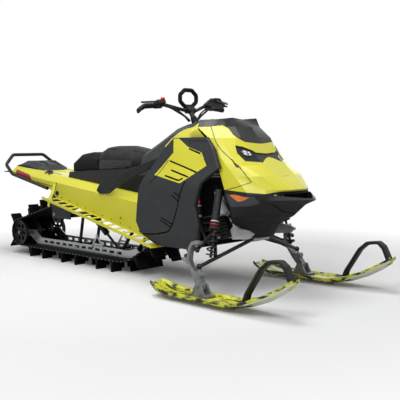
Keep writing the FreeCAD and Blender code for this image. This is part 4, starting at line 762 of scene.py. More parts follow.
# %% [markdown]
# ## Tunnel and running boards
# The tunnel is folded from one sheet and riveted along its flange. Its top carries two long
# slots with black inserts and a pale clear patch on each side, and a black film stripe runs
# along each flank. A red reflector sits at the rear on each flank, made like the amber one.

# %% Tunnel
SLOT_REAR, SLOT_FRONT, SLOT_INNER, SLOT_OUTER = -2310, -1860, 112, 128
FLANK_STRIPE = [(-2050, 610), (-1800, 575)]
TAIL_LENS = [(-2385, 702), (-2165, 662), (-2130, 622), (-2200, 622), (-2355, 660)]


def mark_tunnel(mesh):
    """Paints the inserts, the clear patches and the stripes of the flanks."""
    for side in (-1, 1):
        inner, outer = side * SLOT_INNER, side * SLOT_OUTER
        insert = [(SLOT_REAR, inner), (SLOT_FRONT, inner), (SLOT_FRONT, outer), (SLOT_REAR, outer)]
        paint(mesh, insert, 1, "top")
        film = [(-1960, side * 60), (-1822, side * 60), (-1822, side * 96), (-1930, side * 96)]
        paint(mesh, film, 2, "top")
    for outline in stroke(FLANK_STRIPE, 5):
        paint(mesh, outline, 1)


dressed("tunnel", 3, [yellow_tunnel, black_paint, pale_film], marks=mark_tunnel)
dressed("running_boards", 1.2, [yellow_tunnel])
tail_mesh = bmesh.new()
skin_patch(tail_mesh, "tunnel", TAIL_LENS, LENS_PROUD)
tail_lenses = shaded(tail_mesh, "tail_lenses", "chassis", [red_lens])
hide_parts("tail_reflectors")

# %% [markdown]
# Small metalwork is built from a few shapes: a straight bar between two places, a turned
# stud or collar along an axis, and a flat plate from its corners. Each could be an object
# with modifiers, but all like pieces on one body are joined in one mesh, which stays light.

# %% Bars, studs and collars
def beam(mesh, start, end, wide, deep):
    """A straight bar between two places; wide and deep are its full cross directions."""
    run = end - start
    frame_of = Matrix((run, wide, deep)).transposed().to_4x4()
    frame_of.translation = (start + end) / 2
    return bmesh.ops.create_cube(mesh, size=1, matrix=frame_of)["verts"]


def stud(mesh, place, way, radius, length, segments=12, top=0.86):
    """A turned stud that stands on a place and points along a way."""
    turn = Vector((0, 0, 1)).rotation_difference(way).to_matrix().to_4x4()
    turn.translation = place + way.normalized() * mm(length / 2)
    return bmesh.ops.create_cone(
        mesh, cap_ends=True, segments=segments, radius1=mm(radius), radius2=mm(radius * top),
        depth=mm(length), matrix=turn,
    )["verts"]


def collar(mesh, place, way, radius, length):
    """A round sleeve centred on a place, with softened rims."""
    axis = way.normalized()
    verts = stud(mesh, place - axis * mm(length / 2), way, radius, length, 28, 1.0)
    edges = dict.fromkeys(e for v in verts for e in v.link_edges)
    rims = [e for e in edges if abs((e.verts[0].co - e.verts[1].co).dot(axis)) < mm(0.1)]
    bmesh.ops.bevel(
        mesh, geom=rims, offset=mm(min(2, length / 5)), segments=2, profile=0.5, affect="EDGES", material=-1
    )


def fittings(name, body, material, parts, radius=0.0):
    """One joined piece of many like parts, each a function call that draws into its mesh."""
    mesh = bmesh.new()
    for draw, *values in parts:
        draw(mesh, *values)
    if radius:
        rounded(mesh, radius, 2, 30)
    return shaded(mesh, name, body, [material])


# %% Flat and bent plates
def plate(mesh, corners, way, rim=0.0):
    """A flat plate from its corners and the way of its thickness, with an optional raised rim."""
    verts = [bmesh.ops.create_vert(mesh, co=corner)["vert"][0] for corner in corners]
    face = bmesh.ops.contextual_create(mesh, geom=verts)["faces"][0]
    made = bmesh.ops.extrude_face_region(mesh, geom=[face], use_keep_orig=True)["geom"]
    for item in made:
        if isinstance(item, bmesh.types.BMVert):
            item.co += way
    if rim:
        cap = [item for item in made if isinstance(item, bmesh.types.BMFace)]
        bmesh.ops.recalc_face_normals(mesh, faces=mesh.faces)
        bmesh.ops.inset_region(mesh, faces=cap, thickness=mm(rim), depth=-mm(rim / 2), use_even_offset=True)


def bent_sheet(mesh, rows, thickness):
    """A grid whose rows run through given places, with a wall."""
    made = bmesh.ops.create_grid(mesh, x_segments=len(rows[0]) - 1, y_segments=len(rows) - 1, size=1)["verts"]
    count = len(rows[0])
    for index, vert in enumerate(made):
        vert.co = rows[index // count][index % count]
    bmesh.ops.recalc_face_normals(mesh, faces=mesh.faces)
    bmesh.ops.solidify(mesh, geom=mesh.faces, thickness=mm(thickness))


# %% [markdown]
# Two simple shapes close what an open frame would show: a moulding under the console shuts
# the engine bay towards the seat, and a keel inside the nose parts its right half from its
# left. Without them, daylight falls through the machine where the photograph is dark.

# %% Inner closures
TANK_SKIRT = [(-685, 536), (-905, 561), (-905, 740), (-800, 728), (-685, 705)]
SKIRT_HALF = 128
skirt_corners = [at(x, -SKIRT_HALF, z) for x, z in TANK_SKIRT]
skirt = (plate, skirt_corners, sideways_of(2 * SKIRT_HALF))
fittings("tank_skirt", "chassis", dark_plastic, [skirt], 10)
keel = (beam, at(-90, 0, 617), at(110, 0, 617), sideways_of(5), Vector((0, 0, mm(64))))
fittings("nose_keel", "chassis", pan_plastic, [keel])

# %% [markdown]
# Screws hold the covers and rivets hold the tunnel. They are only a few millimetres wide,
# but a row of them is what makes folded sheet look like folded sheet. The row follows the
# tunnel's lower edge, which falls towards the front.

# %% Screws and rivets
SCREW_PLACES = ((-27, 246, 739), (-1013, 221, 393))
TUNNEL_HALF = 220
RIVET_COUNT, FIRST_RIVET, RIVET_STEP = 11, -1720, 100
EDGE_TOP, EDGE_FALL, EDGE_RUN, EDGE_START, RIVET_RISE = 494, 253, 1230, 70, 22
screws = []
for spot in SCREW_PLACES:
    for place, side in both(*spot):
        screws.append((stud, place - sideways_of(side * 5), Vector((0, side, 0)), 6, 9))
rivets = []
for index in range(RIVET_COUNT):
    run = index * RIVET_STEP
    height = EDGE_TOP - EDGE_FALL * (run + EDGE_START) / EDGE_RUN + RIVET_RISE
    for place, side in both(FIRST_RIVET + run, TUNNEL_HALF, height):
        rivets.append((stud, place, Vector((0, side, 0)), 4.5, 2))
# the large washer and nut at each board's hanger, and a screw on the shoulder above
for place, side in both(-1775, TUNNEL_HALF, 532):
    rivets.append((stud, place, Vector((0, side, 0)), 19, 5, 20))
    rivets.append((stud, place, Vector((0, side, 0)), 11, 14, 6))
for place, side in both(-1786, TUNNEL_HALF, 606):
    rivets.append((stud, place, Vector((0, side * 0.7, 0.7)), 6, 4))
fittings("cover_screws", "chassis", black_coat, screws)
fittings("tunnel_rivets", "chassis", black_coat, rivets)

# %% [markdown]
# A bent sheet hangs each running board from the tunnel's shoulder. It is a grid laid through
# its rows of corners and given a wall, which is how a folded bracket is drawn in the flat.

# %% Hangers of the running boards and pads on the tunnel's shoulder
HANGER = (
    ((-1817, 222, 604), (-1788, 222, 604)),
    ((-1800, 252, 545), (-1768, 252, 545)),
    ((-1760, 312, 490), (-1724, 312, 482)),
    ((-1740, 330, 440), (-1716, 330, 436)),
)
PAD_PLACES = ((-1990, 165, 683), (-1940, 168, 677))
pads = []
for spot in PAD_PLACES:
    for place, side in both(*spot):
        pads.append((stud, place, Vector((0.1, side * 0.22, 1)), 21, 5, 24))
fittings("tunnel_shoulder_pads", "chassis", black_coat, pads, 1)
for side, label in SIDES:
    rows = [on_side(side, row) for row in HANGER]
    fittings("board_hanger_" + label, "chassis", yellow_tunnel, [(bent_sheet, rows, 4)], 1)

# %% [markdown]
# ## Track
# The belt and its paddles are vulcanised in one mould, so every edge has a soft radius. The
# paddles are stiffened by upright ribs, glass fibre rods run across the belt between them,
# and steel clips and drive lugs sit where the rails and the sprockets run. They are placed
# around the same loop that the frame's belt follows: four circles and their tangents.

# %% Track loop
# the four circles: forward place, height and radius of the belt's outside
HUBS = ((-2383, 184, 108), (-1110, 476, 400), (-750, 325, 95), (-1836, 366, 78))
ROWS = 45


def track_places(count, offset=0.5):
    """Places on the belt's outside, each with the ways along it and out of it."""
    hubs = [(mm(x + SHIFT), mm(z), mm(r)) for x, z, r in HUBS]
    turns = []
    for (x, z, r), (nx, nz, nr) in zip(hubs, hubs[1:] + hubs[:1]):
        turns.append(math.atan2(nz - z, nx - x) - math.acos((r - nr) / math.hypot(nx - x, nz - z)))
    runs = []
    for index, (x, z, r) in enumerate(hubs):
        enter, leave = turns[index - 1], turns[index]
        sweep = (leave - enter) % (2 * math.pi)
        runs.append((r * sweep, "arc", (x, z, r, enter)))
        nx, nz, nr = hubs[(index + 1) % len(hubs)]
        start = Vector((x + r * math.cos(leave), 0, z + r * math.sin(leave)))
        end = Vector((nx + nr * math.cos(leave), 0, nz + nr * math.sin(leave)))
        runs.append(((end - start).length, "line", (start, end)))
    total = sum(run[0] for run in runs)
    places = []
    for number in range(count):
        along = total * (number + offset) / count
        for length, kind, facts in runs:
            if along <= length:
                break
            along -= length
        if kind == "line":
            ahead = (facts[1] - facts[0]).normalized()
            spot = facts[0] + ahead * along
        else:
            x, z, r, enter = facts
            angle = enter + along / r
            spot = Vector((x + r * math.cos(angle), 0, z + r * math.sin(angle)))
            ahead = Vector((-math.sin(angle), 0, math.cos(angle)))
        places.append((spot, ahead, Vector((ahead.z, 0, -ahead.x))))
    return places


first, second = (spot for spot, ahead, out in track_places(ROWS)[:2])
print(ROWS, "rows of paddles,", round((second - first).length / mm(1)), "mm apart")

# %% [markdown]
# Each half of a paddle has six ribs on its front and six on its back, which lean in towards
# the tip. Copying them in a row would do on a straight belt; here each one is turned to the
# belt's own direction at its place, so the ribs fan out round the wheels.

# %% Paddle ribs
BELT_HALF, PADDLE_WIDTH, WIDE_SHARE = 203, 88, 2.1
RIBS, FIRST_RIB, RIB_STEP = 6, 9, 14
RIB_FOOT, RIB_TIP, FOOT_AHEAD, TIP_AHEAD = 4, 71, 11, 5.8
RIB_WIDE, RIB_DEEP = 4.5, 6.5
ribs = []
for number, (spot, ahead, out) in enumerate(track_places(ROWS)):
    width = PADDLE_WIDTH * (1 if number % 5 in (0, 2) else WIDE_SHARE)
    for side in (-1, 1):
        for step in range(RIBS):
            line = spot + sideways_of(side * (BELT_HALF - width + FIRST_RIB + step * RIB_STEP))
            for way in (-1, 1):
                foot = line + out * mm(RIB_FOOT) + ahead * way * mm(FOOT_AHEAD)
                tip = line + out * mm(RIB_TIP) + ahead * way * mm(TIP_AHEAD)
                ribs.append((beam, foot, tip, sideways_of(RIB_WIDE), ahead * mm(RIB_DEEP)))
fittings("track_paddle_ribs", "chassis", track_rubber, ribs)

# %% Rods, drive lugs and clips
ROD_HALF, LUG_PLACE = 200, 86
CLIP_INNER, CLIP_OUTER = 103, 127
TAB_INNER, TAB_OUTER, TAB_SINK = 199, 203.8, 4
bars = []
for spot, ahead, out in track_places(ROWS, 0.0):
    right, left = spot - sideways_of(ROD_HALF), spot + sideways_of(ROD_HALF)
    bars.append((beam, right, left, ahead * mm(13), out * mm(9)))
    for side in (-1, 1):
        lug = spot + sideways_of(side * LUG_PLACE)
        bars.append((beam, lug - out * mm(8), lug - out * mm(25), ahead * mm(22), sideways_of(15)))
fittings("track_rods_and_drive_lugs", "chassis", track_rubber, bars, 1.5)
clips = []
for spot, ahead, out in track_places(ROWS * 2, 0.5):
    for side in (-1, 1):
        inner, outer = (spot + sideways_of(side * y) for y in (CLIP_INNER, CLIP_OUTER))
        clips.append((beam, inner, outer, ahead * mm(26), out * mm(3)))
        inner, outer = (spot + sideways_of(side * y) - out * mm(TAB_SINK) for y in (TAB_INNER, TAB_OUTER))
        clips.append((beam, inner, outer, ahead * mm(9), out * mm(5)))
fittings("track_guide_clips", "chassis", plain_steel, clips)
dressed("track", 2.2, [track_rubber], 2, 30)

# %% [markdown]
# ## Skid
# Inside the track run two extruded rails with a plastic slider below. Pressed brackets stand
# on them and carry the arms, and hexagon bolts hold the wheels' supports.

# %% Rails and wheels
dressed("slide_rails", 0.8, [rail_aluminium], 1, 30)
dressed("slide_strips", 1, [dark_plastic], 1, 30)
dressed("idler_wheels", 1.5, [wheel_plastic], 2, 30)
dressed("drive_sprockets", 1.5, [wheel_plastic], 2, 30)
dressed("drop_brackets", 1, [black_coat], 1, 30)

# %% Rail stands and bolts
STAND_APEX, STAND_REAR, STAND_FRONT = (-1416, 226), (-1492, 128), (-1340, 128)
CROSSBAR_SHARE, STAND_WIDTH, STAND_WALL = 0.35, 13, 5
RAIL_BOLTS = (-2250, -2060, -1870, -1680, -1180)
stands = []
for side in (-1, 1):
    outward = Vector((0, side, 0))
    apex, rear, front = (at(x, side * 123.5, z) for x, z in (STAND_APEX, STAND_REAR, STAND_FRONT))
    crossbar = (rear.lerp(apex, CROSSBAR_SHARE), front.lerp(apex, CROSSBAR_SHARE))
    for start, end in ((apex, rear), (apex, front), crossbar):
        square = (end - start).cross(Vector((0, 1, 0))).normalized()
        stands.append((beam, start, end, square * mm(STAND_WIDTH), sideways_of(STAND_WALL)))
    stands.append((stud, apex - sideways_of(side * 3), outward, 13, 9, 16, 1.0))
    for x in RAIL_BOLTS:
        stands.append((stud, at(x, side * 119, 124), outward, 7, 7, 6))
fittings("rail_stands_and_bolts", "chassis", rail_aluminium, stands, 0.8)

# %% [markdown]
# ## Front end
# The legs, saddles and brackets are castings with filleted edges. Where the bulkhead shows
# its bare casting, the black coat stops, so a region of its skin gets the metal. The rubber
# boots between the arms are stacks of collars that swell towards the middle.

# %% Castings and boots
UPPER_CASTING = [(-141, 603), (-105, 598), (-38, 487), (-50, 463), (-122, 461), (-155, 483)]
LOWER_CASTING = [
    (-40, 458), (-3, 412), (43, 397), (111, 392), (150, 376), (119, 345), (-8, 331), (-27, 385)
]
CASTING_STRUT = [(-150, 604), (-118, 604), (-40, 500), (-62, 476), (-96, 480)]
BOOT_RINGS, BOOT_RADIUS, BOOT_SWELL, BOOT_RING = 7, 40, 2, 15


def mark_bulkhead(mesh):
    """Leaves the upper casting bare."""
    paint(mesh, UPPER_CASTING, 1)


for node in ("spindle_right", "spindle_left", "ski_saddle_right", "ski_saddle_left"):
    dressed(node, 2, [leg_casting], 2, 30)
dressed("bulkhead", 4, [black_coat, cast_aluminium], 2, 25, marks=mark_bulkhead)
castings, boots = [], []
for side in (-1, 1):
    casting = [at(x, side * 186, z) for x, z in LOWER_CASTING]
    castings.append((plate, casting, sideways_of(side * 12), 7))
    strut = [at(x, side * 196, z) for x, z in CASTING_STRUT]
    castings.append((plate, strut, sideways_of(side * 8), 5))
    top, foot = at(-92, side * 212, 452), at(-50, side * 212, 345)
    for step in range(BOOT_RINGS):
        radius = BOOT_RADIUS - BOOT_SWELL * abs(step - 3)
        boots.append((collar, top.lerp(foot, step / (BOOT_RINGS - 1)), foot - top, radius, BOOT_RING))
fittings("lower_castings", "chassis", cast_aluminium, castings)
fittings("arm_boots", "chassis", grip_rubber, boots)

# %% [markdown]
# The stays beside the seat are moulded bars with two grooves, whose floors are painted lighter
# as a painted highlight. Each ski is printed on its top
# and its sides; the underside of its tip, which the low camera sees, is the bare moulding,
# so the faces that look down there get the plain plastic.

# %% Stays, ski loops and skis
STAY_GROOVES = (
    [(-1226, 602), (-1030, 680), (-730, 790)],
    [(-1200, 575), (-1090, 575), (-1030, 620), (-1010, 655)],
)
TIP_START, DOWNWARD = 330, -0.25


def mark_stays(mesh):
    """Cuts the grooves of the stays, their floors painted lighter as a painted highlight."""
    for line in STAY_GROOVES:
        groove(mesh, line, 7, 3, 1)


def mark_tip(mesh):
    """Leaves the underside of the tip without its print."""
    for face in mesh.faces:
        if face.normal.z < DOWNWARD and face.calc_center_median().x > mm(TIP_START + SHIFT):
            face.material_index = 1


dressed("subframe", 1, [cast_aluminium], 1, 30)
# the second material is a painted highlight on the floors of the grooves
dressed("side_stays", 2.5, [pan_plastic, painted_highlight_plastic], 2, 20, marks=mark_stays)
for node in ("ski_loop_right", "ski_loop_left"):
    dressed(node, 7, [pan_plastic], 3, 15)
for node in ("ski_right", "ski_left"):
    dressed(node, 2, [ski_shell, bare_ski], 2, 12, marks=mark_tip)
dressed("belly_pan", 1, [dark_plastic], 1, 30)
dressed("engine", 12, [dark_plastic], 3, 30)

# %% [markdown]
# Red and silver rings sit on the shocks and on their reservoirs: caps, clamps and the
# adjusters that preload the springs. They are collars along the axis of what they sit on.

# %% Shock fittings
CAN_PLACE, SHOCK_FOOT, SHOCK_TOP = (-215, 270), (-20, 377, 255), (-45, 270, 622)
red_rings, silver_rings = [], []
upward = Vector((0, 0, 1))
for side in (-1, 1):
    can = at(CAN_PLACE[0], side * CAN_PLACE[1], 0)
    red_rings.append((stud, can + upward * mm(538), upward, 20, 20, 20, 0.8))
    red_rings.append((collar, can + upward * mm(440), upward, 22.5, 14))
    red_rings.append((collar, at(-112, side * 264, 428), Vector((0.3, 0, 1)), 9, 44))
    silver_rings.append((collar, can + upward * mm(524), upward, 20.8, 10))
    silver_rings.append((collar, can + upward * mm(462), upward, 20.8, 14))
    foot, top = on_side(side, (SHOCK_FOOT, SHOCK_TOP))
    axis = (top - foot).normalized()
    red_rings.append((collar, foot.lerp(top, 0.47), axis, 27, 8))
    silver_rings.append((collar, foot.lerp(top, 0.52), axis, 25, 7))
fittings("shock_adjusters", "chassis", red_metal, red_rings)
fittings("shock_reservoirs", "chassis", cast_aluminium, silver_rings)

# %% [markdown]
# The yellow of the console runs into the cheeks through a bent trim panel on each side. It is
# one sheet, folded along its length, so a grid is laid between its rows of corners.

# %% Console wings
WING = (
    ((-271, 192, 1018), (-322, 186, 995), (-400, 176, 955)),
    ((-246, 236, 975), (-322, 206, 965), (-410, 184, 925)),
    ((-172, 248, 920), (-312, 216, 926), (-415, 188, 905)),
)
for side, name in ((-1, "console_wings"), (1, "console_wings_left")):
    rows = [on_side(side, row) for row in WING]
    fittings(name, "chassis", yellow_cover, [(bent_sheet, rows, 3 * side)], 1)

# %% [markdown]
# ## Seat
# The cushion is foam under a stretched vinyl cover. Its block is shrunk a little, remeshed
# to even faces, held at its base and blown up as cloth, which rounds it the way foam fills a
# cover: the middle crowns and the edges pull in. The movement is capped, so it keeps to its
# place. The bag behind it is made the same way with less filling. Seams follow afterwards.

# %% Stuffed covers
BASE_FALL = 42
BASE_LOW, BASE_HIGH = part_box("seat_base")
FOOT_BAND, HELD_BAND = 2, 8
CLOTH_FRAMES, PRESSURE = 20, 4
FINE_FACES, QUICK_FACES = 6, 12


def evaluated_mesh(made):
    """The mesh of a piece with its modifiers in it."""
    return bpy.data.meshes.new_from_object(made.evaluated_get(bpy.context.evaluated_depsgraph_get()))


def base_top(x):
    """The height of the seat base's top, which falls to the rear."""
    return BASE_HIGH[2] - mm(BASE_FALL) * (BASE_HIGH[0] - x) / (BASE_HIGH[0] - BASE_LOW[0]) + mm(1)


def blow_up(made, cap):
    """Fills a cover as cloth that is held at the seat base, and caps how far it moves."""
    rest = [v.co.copy() for v in made.data.vertices]
    held = made.vertex_groups.new(name="held")
    low = [v.index for v in made.data.vertices if v.co.z < base_top(v.co.x) + mm(HELD_BAND)]
    held.add(low, 1.0, "REPLACE")
    cloth = made.modifiers.new("cover", "CLOTH")
    cloth.settings.vertex_group_mass = "held"
    cloth.settings.use_pressure = True
    cloth.settings.uniform_pressure_force = PRESSURE
    cloth.settings.effector_weights.gravity = 0
    cloth.point_cache.frame_start = 1
    cloth.point_cache.frame_end = CLOTH_FRAMES
    for number in range(1, CLOTH_FRAMES + 1):
        bpy.context.scene.frame_set(number)
    blown = evaluated_mesh(made)
    for vert, start in zip(blown.vertices, rest):
        move = vert.co - start
        if move.length > mm(cap):
            vert.co = start + move.normalized() * mm(cap)
        vert.co.z = max(vert.co.z, base_top(vert.co.x))
    made.modifiers.clear()
    made.data = blown
    bpy.context.scene.frame_set(1)


def crimp(made, rear, front, top):
    """Gives the second material to the lower band of a cover's flanks."""
    for face in made.data.polygons:
        between = mm(rear + SHIFT) < face.center.x < mm(front + SHIFT)
        if between and face.center.z < mm(top) and abs(face.normal.y) > 0.5:
            face.material_index = 1


def stuffed(node, name, shrink, cap, materials, band=None):
    """A soft cover that stands for a node, made from its mesh."""
    mesh = solid_copy(node)
    mesh.normal_update()
    foot = min(v.co.z for v in mesh.verts) + mm(FOOT_BAND)
    for vert in mesh.verts:
        low = vert.co.z < foot
        vert.co -= vert.normal * mm(shrink)
        if low:
            vert.co.z = base_top(vert.co.x)
    made = shaded(mesh, name, BODY_OF[node], materials, 180)
    even = made.modifiers.new("even_faces", "REMESH")
    even.mode = "VOXEL"
    even.voxel_size = mm(FINE_FACES)
    even.use_smooth_shade = True
    made.data = evaluated_mesh(made)
    made.modifiers.clear()
    blow_up(made, cap)
    if band:
        crimp(made, *band)
    finer = made.modifiers.new("finer", "SUBSURF")
    finer.levels = finer.render_levels = 1
    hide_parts(node)
    print(name, "verts", len(made.data.vertices))
    return made


# %% Cushion and bag
QUILTED_BAND = (-1372, -1020, 784)
cushion = stuffed("seat_cushion", "seat_cushion_cover", 5, 12, [seat_vinyl, quilted_vinyl], QUILTED_BAND)
trunk = stuffed("seat_trunk", "seat_trunk_cover", 4, 6, [strap_webbing])
dressed("seat_base", 8, [pan_plastic], 3)

# %% [markdown]
# A welt is sewn along each seam, and the bag closes with a zip. Both are thin cords that
# must lie on the cover after it is blown up, so each place is first moved to the nearest
# point of the cover, and then sunk by part of the cord's radius.

# %% Cords and seams
SEAM_SINK = 0.4


def cord(name, body, places, radius, material, rings):
    """A round line through some places, with a given fineness of its section."""
    curve = bpy.data.curves.new(name, "CURVE")
    curve.dimensions = "3D"
    curve.bevel_depth = mm(radius)
    curve.bevel_resolution = rings
    line = curve.splines.new("NURBS")
    line.points.add(len(places) - 1)
    for spot, place in zip(line.points, places):
        spot.co = (*place, 1)
    line.order_u = 3
    line.use_endpoint_u = True
    curve.materials.append(material)
    made = bpy.data.objects.new(name, curve)
    bpy.context.scene.collection.objects.link(made)
    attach(made, body)
    print(name, "through", len(places), "places")


def seam(name, target, places, radius, material):
    """A welt that follows a cover through the points nearest to some places."""
    found = [target.closest_point_on_mesh(place) for place in places]
    sunk = [point - normal * mm(radius * SEAM_SINK) for hit, point, normal, face in found]
    cord(name, "chassis", sunk, radius, material, 2)


# for each seam its name, the cover, the radius, the material and the places on the left
SIDE_SEAMS = (
    ("cushion_welt_", cushion, 2.2, seat_vinyl,
     ((-1372, 92, 850), (-1310, 96, 874), (-1200, 96, 880), (-1060, 88, 872), (-930, 76, 850))),
    ("cushion_low_seam_", cushion, 1.4, black_coat,
     ((-1372, 125, 790), (-1250, 128, 790), (-1100, 118, 786), (-930, 98, 778))),
    ("bag_zip_", trunk, 2.4, black_coat,
     ((-1690, 118, 770), (-1600, 122, 800), (-1480, 124, 805), (-1400, 124, 800))),
)
for side, label in SIDES:
    for name, cover, radius, material, run in SIDE_SEAMS:
        seam(name + label, cover, on_side(side, run), radius, material)
cross = [at(-1240, y, 890) for y in (-96, -50, 0, 50, 96)]
seam("cushion_cross_seam", cushion, cross, 1.6, seat_vinyl)

# %% [markdown]
# ## Handlebar
# The bar leans with its column. `on_bar` gives a place in the column's own directions:
# ahead of the column, across to the rider's left, and up along it. What is drawn here rides
# on the handlebar, so it turns when the rider steers.

# %% Places on the bar
LEAN = math.radians(31.3)
BAR_AHEAD = Vector((math.cos(LEAN), 0, math.sin(LEAN)))
BAR_ALONG = Vector((-math.sin(LEAN), 0, math.cos(LEAN)))


def on_bar(x, y, z):
    """A place ahead of the column's head, to the left of it and up along it."""
    return at(-503, 0, 1025) + BAR_AHEAD * mm(x) + sideways_of(y) + BAR_ALONG * mm(z)


UP_BAR = on_bar(0, 0, 1) - on_bar(0, 0, 0)
print("column leans", round(math.degrees(LEAN), 1), "degrees")

# %% Boot and clamp
BOOT_FOLDS, FOLD_RISE, FOLD_STEP, FOLD_RADIUS, FOLD_TAPER, FOLD_HEIGHT = 5, 6, 8, 25, 1.2, 7
folds = []
for step in range(BOOT_FOLDS):
    place = on_bar(0, 0, FOLD_RISE + step * FOLD_STEP)
    folds.append((collar, place, UP_BAR, FOLD_RADIUS - step * FOLD_TAPER, FOLD_HEIGHT))
fittings("steering_boot", "handlebar", grip_rubber, folds)
clamp = []
for x in (-17, 17):
    for y in (-22, 22):
        clamp.append((stud, on_bar(x * 0.7, y, 112), UP_BAR, 5, 9, 6))
clamp.append((beam, on_bar(0, -36, 118), on_bar(0, 36, 118), BAR_AHEAD * mm(30), UP_BAR * 9))
fittings("bar_clamp_screws", "handlebar", black_coat, clamp, 1.5)

# %% Switches, stop button, brake guard and reservoir
BRAKE_GUARD = [
    (148, 1154), (175, 1179), (233, 1197), (282, 1197), (341, 1146), (311, 1130), (232, 1126), (184, 1143)
]
blocks = []
for side in (-1, 1):
    start, end = on_bar(-24, side * 196, 166), on_bar(-32, side * 246, 165)
    blocks.append((beam, start, end, BAR_AHEAD * mm(34), UP_BAR * 22))
    start, end = on_bar(6, side * 200, 150), on_bar(2, side * 262, 149)
    blocks.append((beam, start, end, BAR_AHEAD * mm(22), UP_BAR * 26))
fittings("switch_blocks", "handlebar", dark_plastic, blocks, 3)
base = (beam, at(-600, -190, 1158), at(-590, -244, 1156), Vector((mm(44), 0, 0)), Vector((0, 0, mm(24))))
fittings("stop_button_base", "handlebar", dark_plastic, [base], 4)
button = (stud, at(-578, -216, 1166), Vector((0.1, 0, 1)), 15, 17, 24)
fittings("stop_button", "handlebar", red_metal, [button], 2)
guard = (plate, [at(-566, y, z) for y, z in BRAKE_GUARD], Vector((mm(16), 0, 0)), 6)
fittings("brake_guard", "handlebar", dark_plastic, [guard])
tank = (beam, on_bar(8, 212, 172), on_bar(2, 272, 170), BAR_AHEAD * mm(46), UP_BAR * 24)
lever = (beam, on_bar(46, 236, 150), on_bar(20, 372, 150), BAR_AHEAD * mm(8), UP_BAR * 18)
fittings("brake_reservoir", "handlebar", black_coat, [tank, lever], 3)

# %% [markdown]
# A cable and a heater lead run from each grip to the column. They are clipped along their
# whole way, so they don't hang, and a curve with a round section is all they need.

# %% Cables on the bar
# for each line its name, its radius and its places on the left
BAR_LINES = (
    ("control_cable_", 7,
     ((-580, 222, 1140), (-570, 205, 1129), (-552, 170, 1120),
      (-541, 120, 1093), (-529, 70, 1069), (-525, 30, 1037))),
    ("heater_lead_", 5,
     ((-585, 216, 1138), (-566, 190, 1134), (-556, 150, 1121),
      (-548, 100, 1097), (-538, 62, 1068), (-532, 34, 1034))),
)
for side, label in SIDES:
    for name, radius, line in BAR_LINES:
        cord(name + label, "handlebar", on_side(side, line), radius, grip_rubber, 3)

# %% [markdown]
# The right end of the bar turns down, so that the hand can't slip off on a side slope. The
# tube is cut into short lengths there first, and then each cut drops by a growing share,
# which bends it. Webbing and tube need a little more body than the frame gives them.

# %% Bar, grips and strap
END_START, END_STOP, END_DROP, END_CUT, END_CURVE = 330, 386, 30, 10, 1.4


def turn_end_down(mesh):
    """Bends the right end of a tube downwards."""
    for cut in range(END_START, END_STOP, END_CUT):
        geometry = list(mesh.verts) + list(mesh.edges) + list(mesh.faces)
        bmesh.ops.bisect_plane(mesh, geom=geometry, plane_co=sideways_of(-cut), plane_no=sideways_of(1))
    for vert in mesh.verts:
        share = (-vert.co.y - mm(END_START)) / mm(END_STOP - END_START)
        if share > 0:
            vert.co.z -= mm(END_DROP) * share**END_CURVE


def thicker(amount):
    """A change that fattens a tube by an amount all round."""
    def fatten(mesh):
        mesh.normal_update()
        for vert in mesh.verts:
            vert.co += vert.normal * mm(amount)
            vert.co.z -= mm(amount)
    return fatten


dressed("grips", 2, [grip_rubber], 2, 30, turn_end_down)
dressed("handlebar", 0.5, [black_coat], 1, 50, turn_end_down)
dressed("strap_loop", 2, [strap_webbing], 2, 50, thicker(2.5))
dressed("rear_bumper", 1, [black_coat], 1, 50, thicker(1.5))
dressed("hand_controls", 2, [dark_plastic], 2, 30)

# %% [markdown]
# ## Hoses, tail and what is left
# A black hose runs from each reservoir to its shock, and another line runs down each side
# of the bulkhead. Both are clipped, so they are drawn like the cables on the bar.

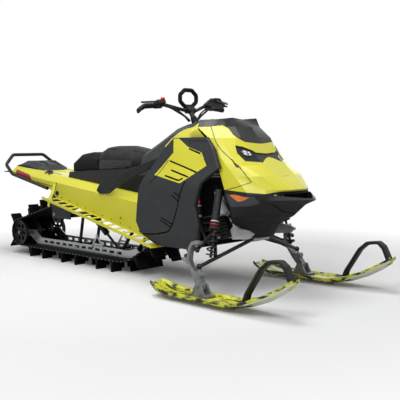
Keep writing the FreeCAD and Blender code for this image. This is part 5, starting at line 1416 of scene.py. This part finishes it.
# %% Lines by the shocks
SHOCK_LINES = (
    ("reservoir_hose_", 5,
     ((-205, 270, 440), (-170, 276, 425), (-120, 292, 424), (-80, 308, 436), (-42, 322, 448))),
    ("bulkhead_line_", 6,
     ((-150, 180, 640), (-120, 214, 600), (-128, 222, 540), (-150, 214, 480), (-160, 190, 430))),
)
for side, label in SIDES:
    for name, radius, line in SHOCK_LINES:
        cord(name + label, "chassis", on_side(side, line), radius, grip_rubber, 3)

# %% [markdown]
# The tail cover is a dark moulding with two oval hollows and a third one behind them. Its
# front edge is drawn back first, and then the hollows are pushed in from above, as the
# mould does it; their bottoms are painted black as painted shade, darker than the moulding.

# %% Tail cover and snow flap
TAIL_LENGTH_SHARE = 0.78
OVAL_PLACE, OVAL_SIZE, OVAL_DEPTH = (-2215, 52), (120, 46), 6
REAR_HOLLOW, REAR_DEPTH = [(-2400, -70), (-2340, -80), (-2340, 80), (-2400, 70)], 4


def oval(x, y, long, wide, count=14):
    """The outline of an oval, seen from above."""
    turns = [2 * math.pi * i / count for i in range(count)]
    return [(x + long / 2 * math.cos(a), y + wide / 2 * math.sin(a)) for a in turns]


def shape_tail(mesh):
    """Draws the front edge back and sinks the hollows, painted black inside as painted shade."""
    rear = min(v.co.x for v in mesh.verts)
    for vert in mesh.verts:
        vert.co.x = rear + (vert.co.x - rear) * TAIL_LENGTH_SHARE
    for side in (-1, 1):
        # the hollows get the second material, black, as painted shade
        pocket(mesh, oval(OVAL_PLACE[0], side * OVAL_PLACE[1], *OVAL_SIZE), OVAL_DEPTH, 1, "top")
    pocket(mesh, REAR_HOLLOW, REAR_DEPTH, 1, "top")


dressed("tail_cover", 6, [dark_plastic, black_coat], 3, 12, shape_tail)
dressed("snow_flap", 1.5, [track_rubber], 1, 30)

# %% [markdown]
# Tubes, springs and turned axles are right as the frame gives them: their edges are round or
# too small to see. They keep their solids and only get their surface.

# %% Finishes of the solids that stay
COATED = (
    "rear_arm", "front_arm", "skid_shock", "tunnel_anchors", "lower_arms", "upper_arms", "front_springs",
    "front_shocks", "tie_rod_right", "tie_rod_left", "bar_riser",
)
BARE_STEEL = ("track_axles", "ski_runner_right", "ski_runner_left")
for names, material in ((COATED, black_coat), (BARE_STEEL, plain_steel)):
    for node in names:
        NODES[node].data.materials.clear()
        NODES[node].data.materials.append(material)
    print(material.name, "on", len(names), "solids")
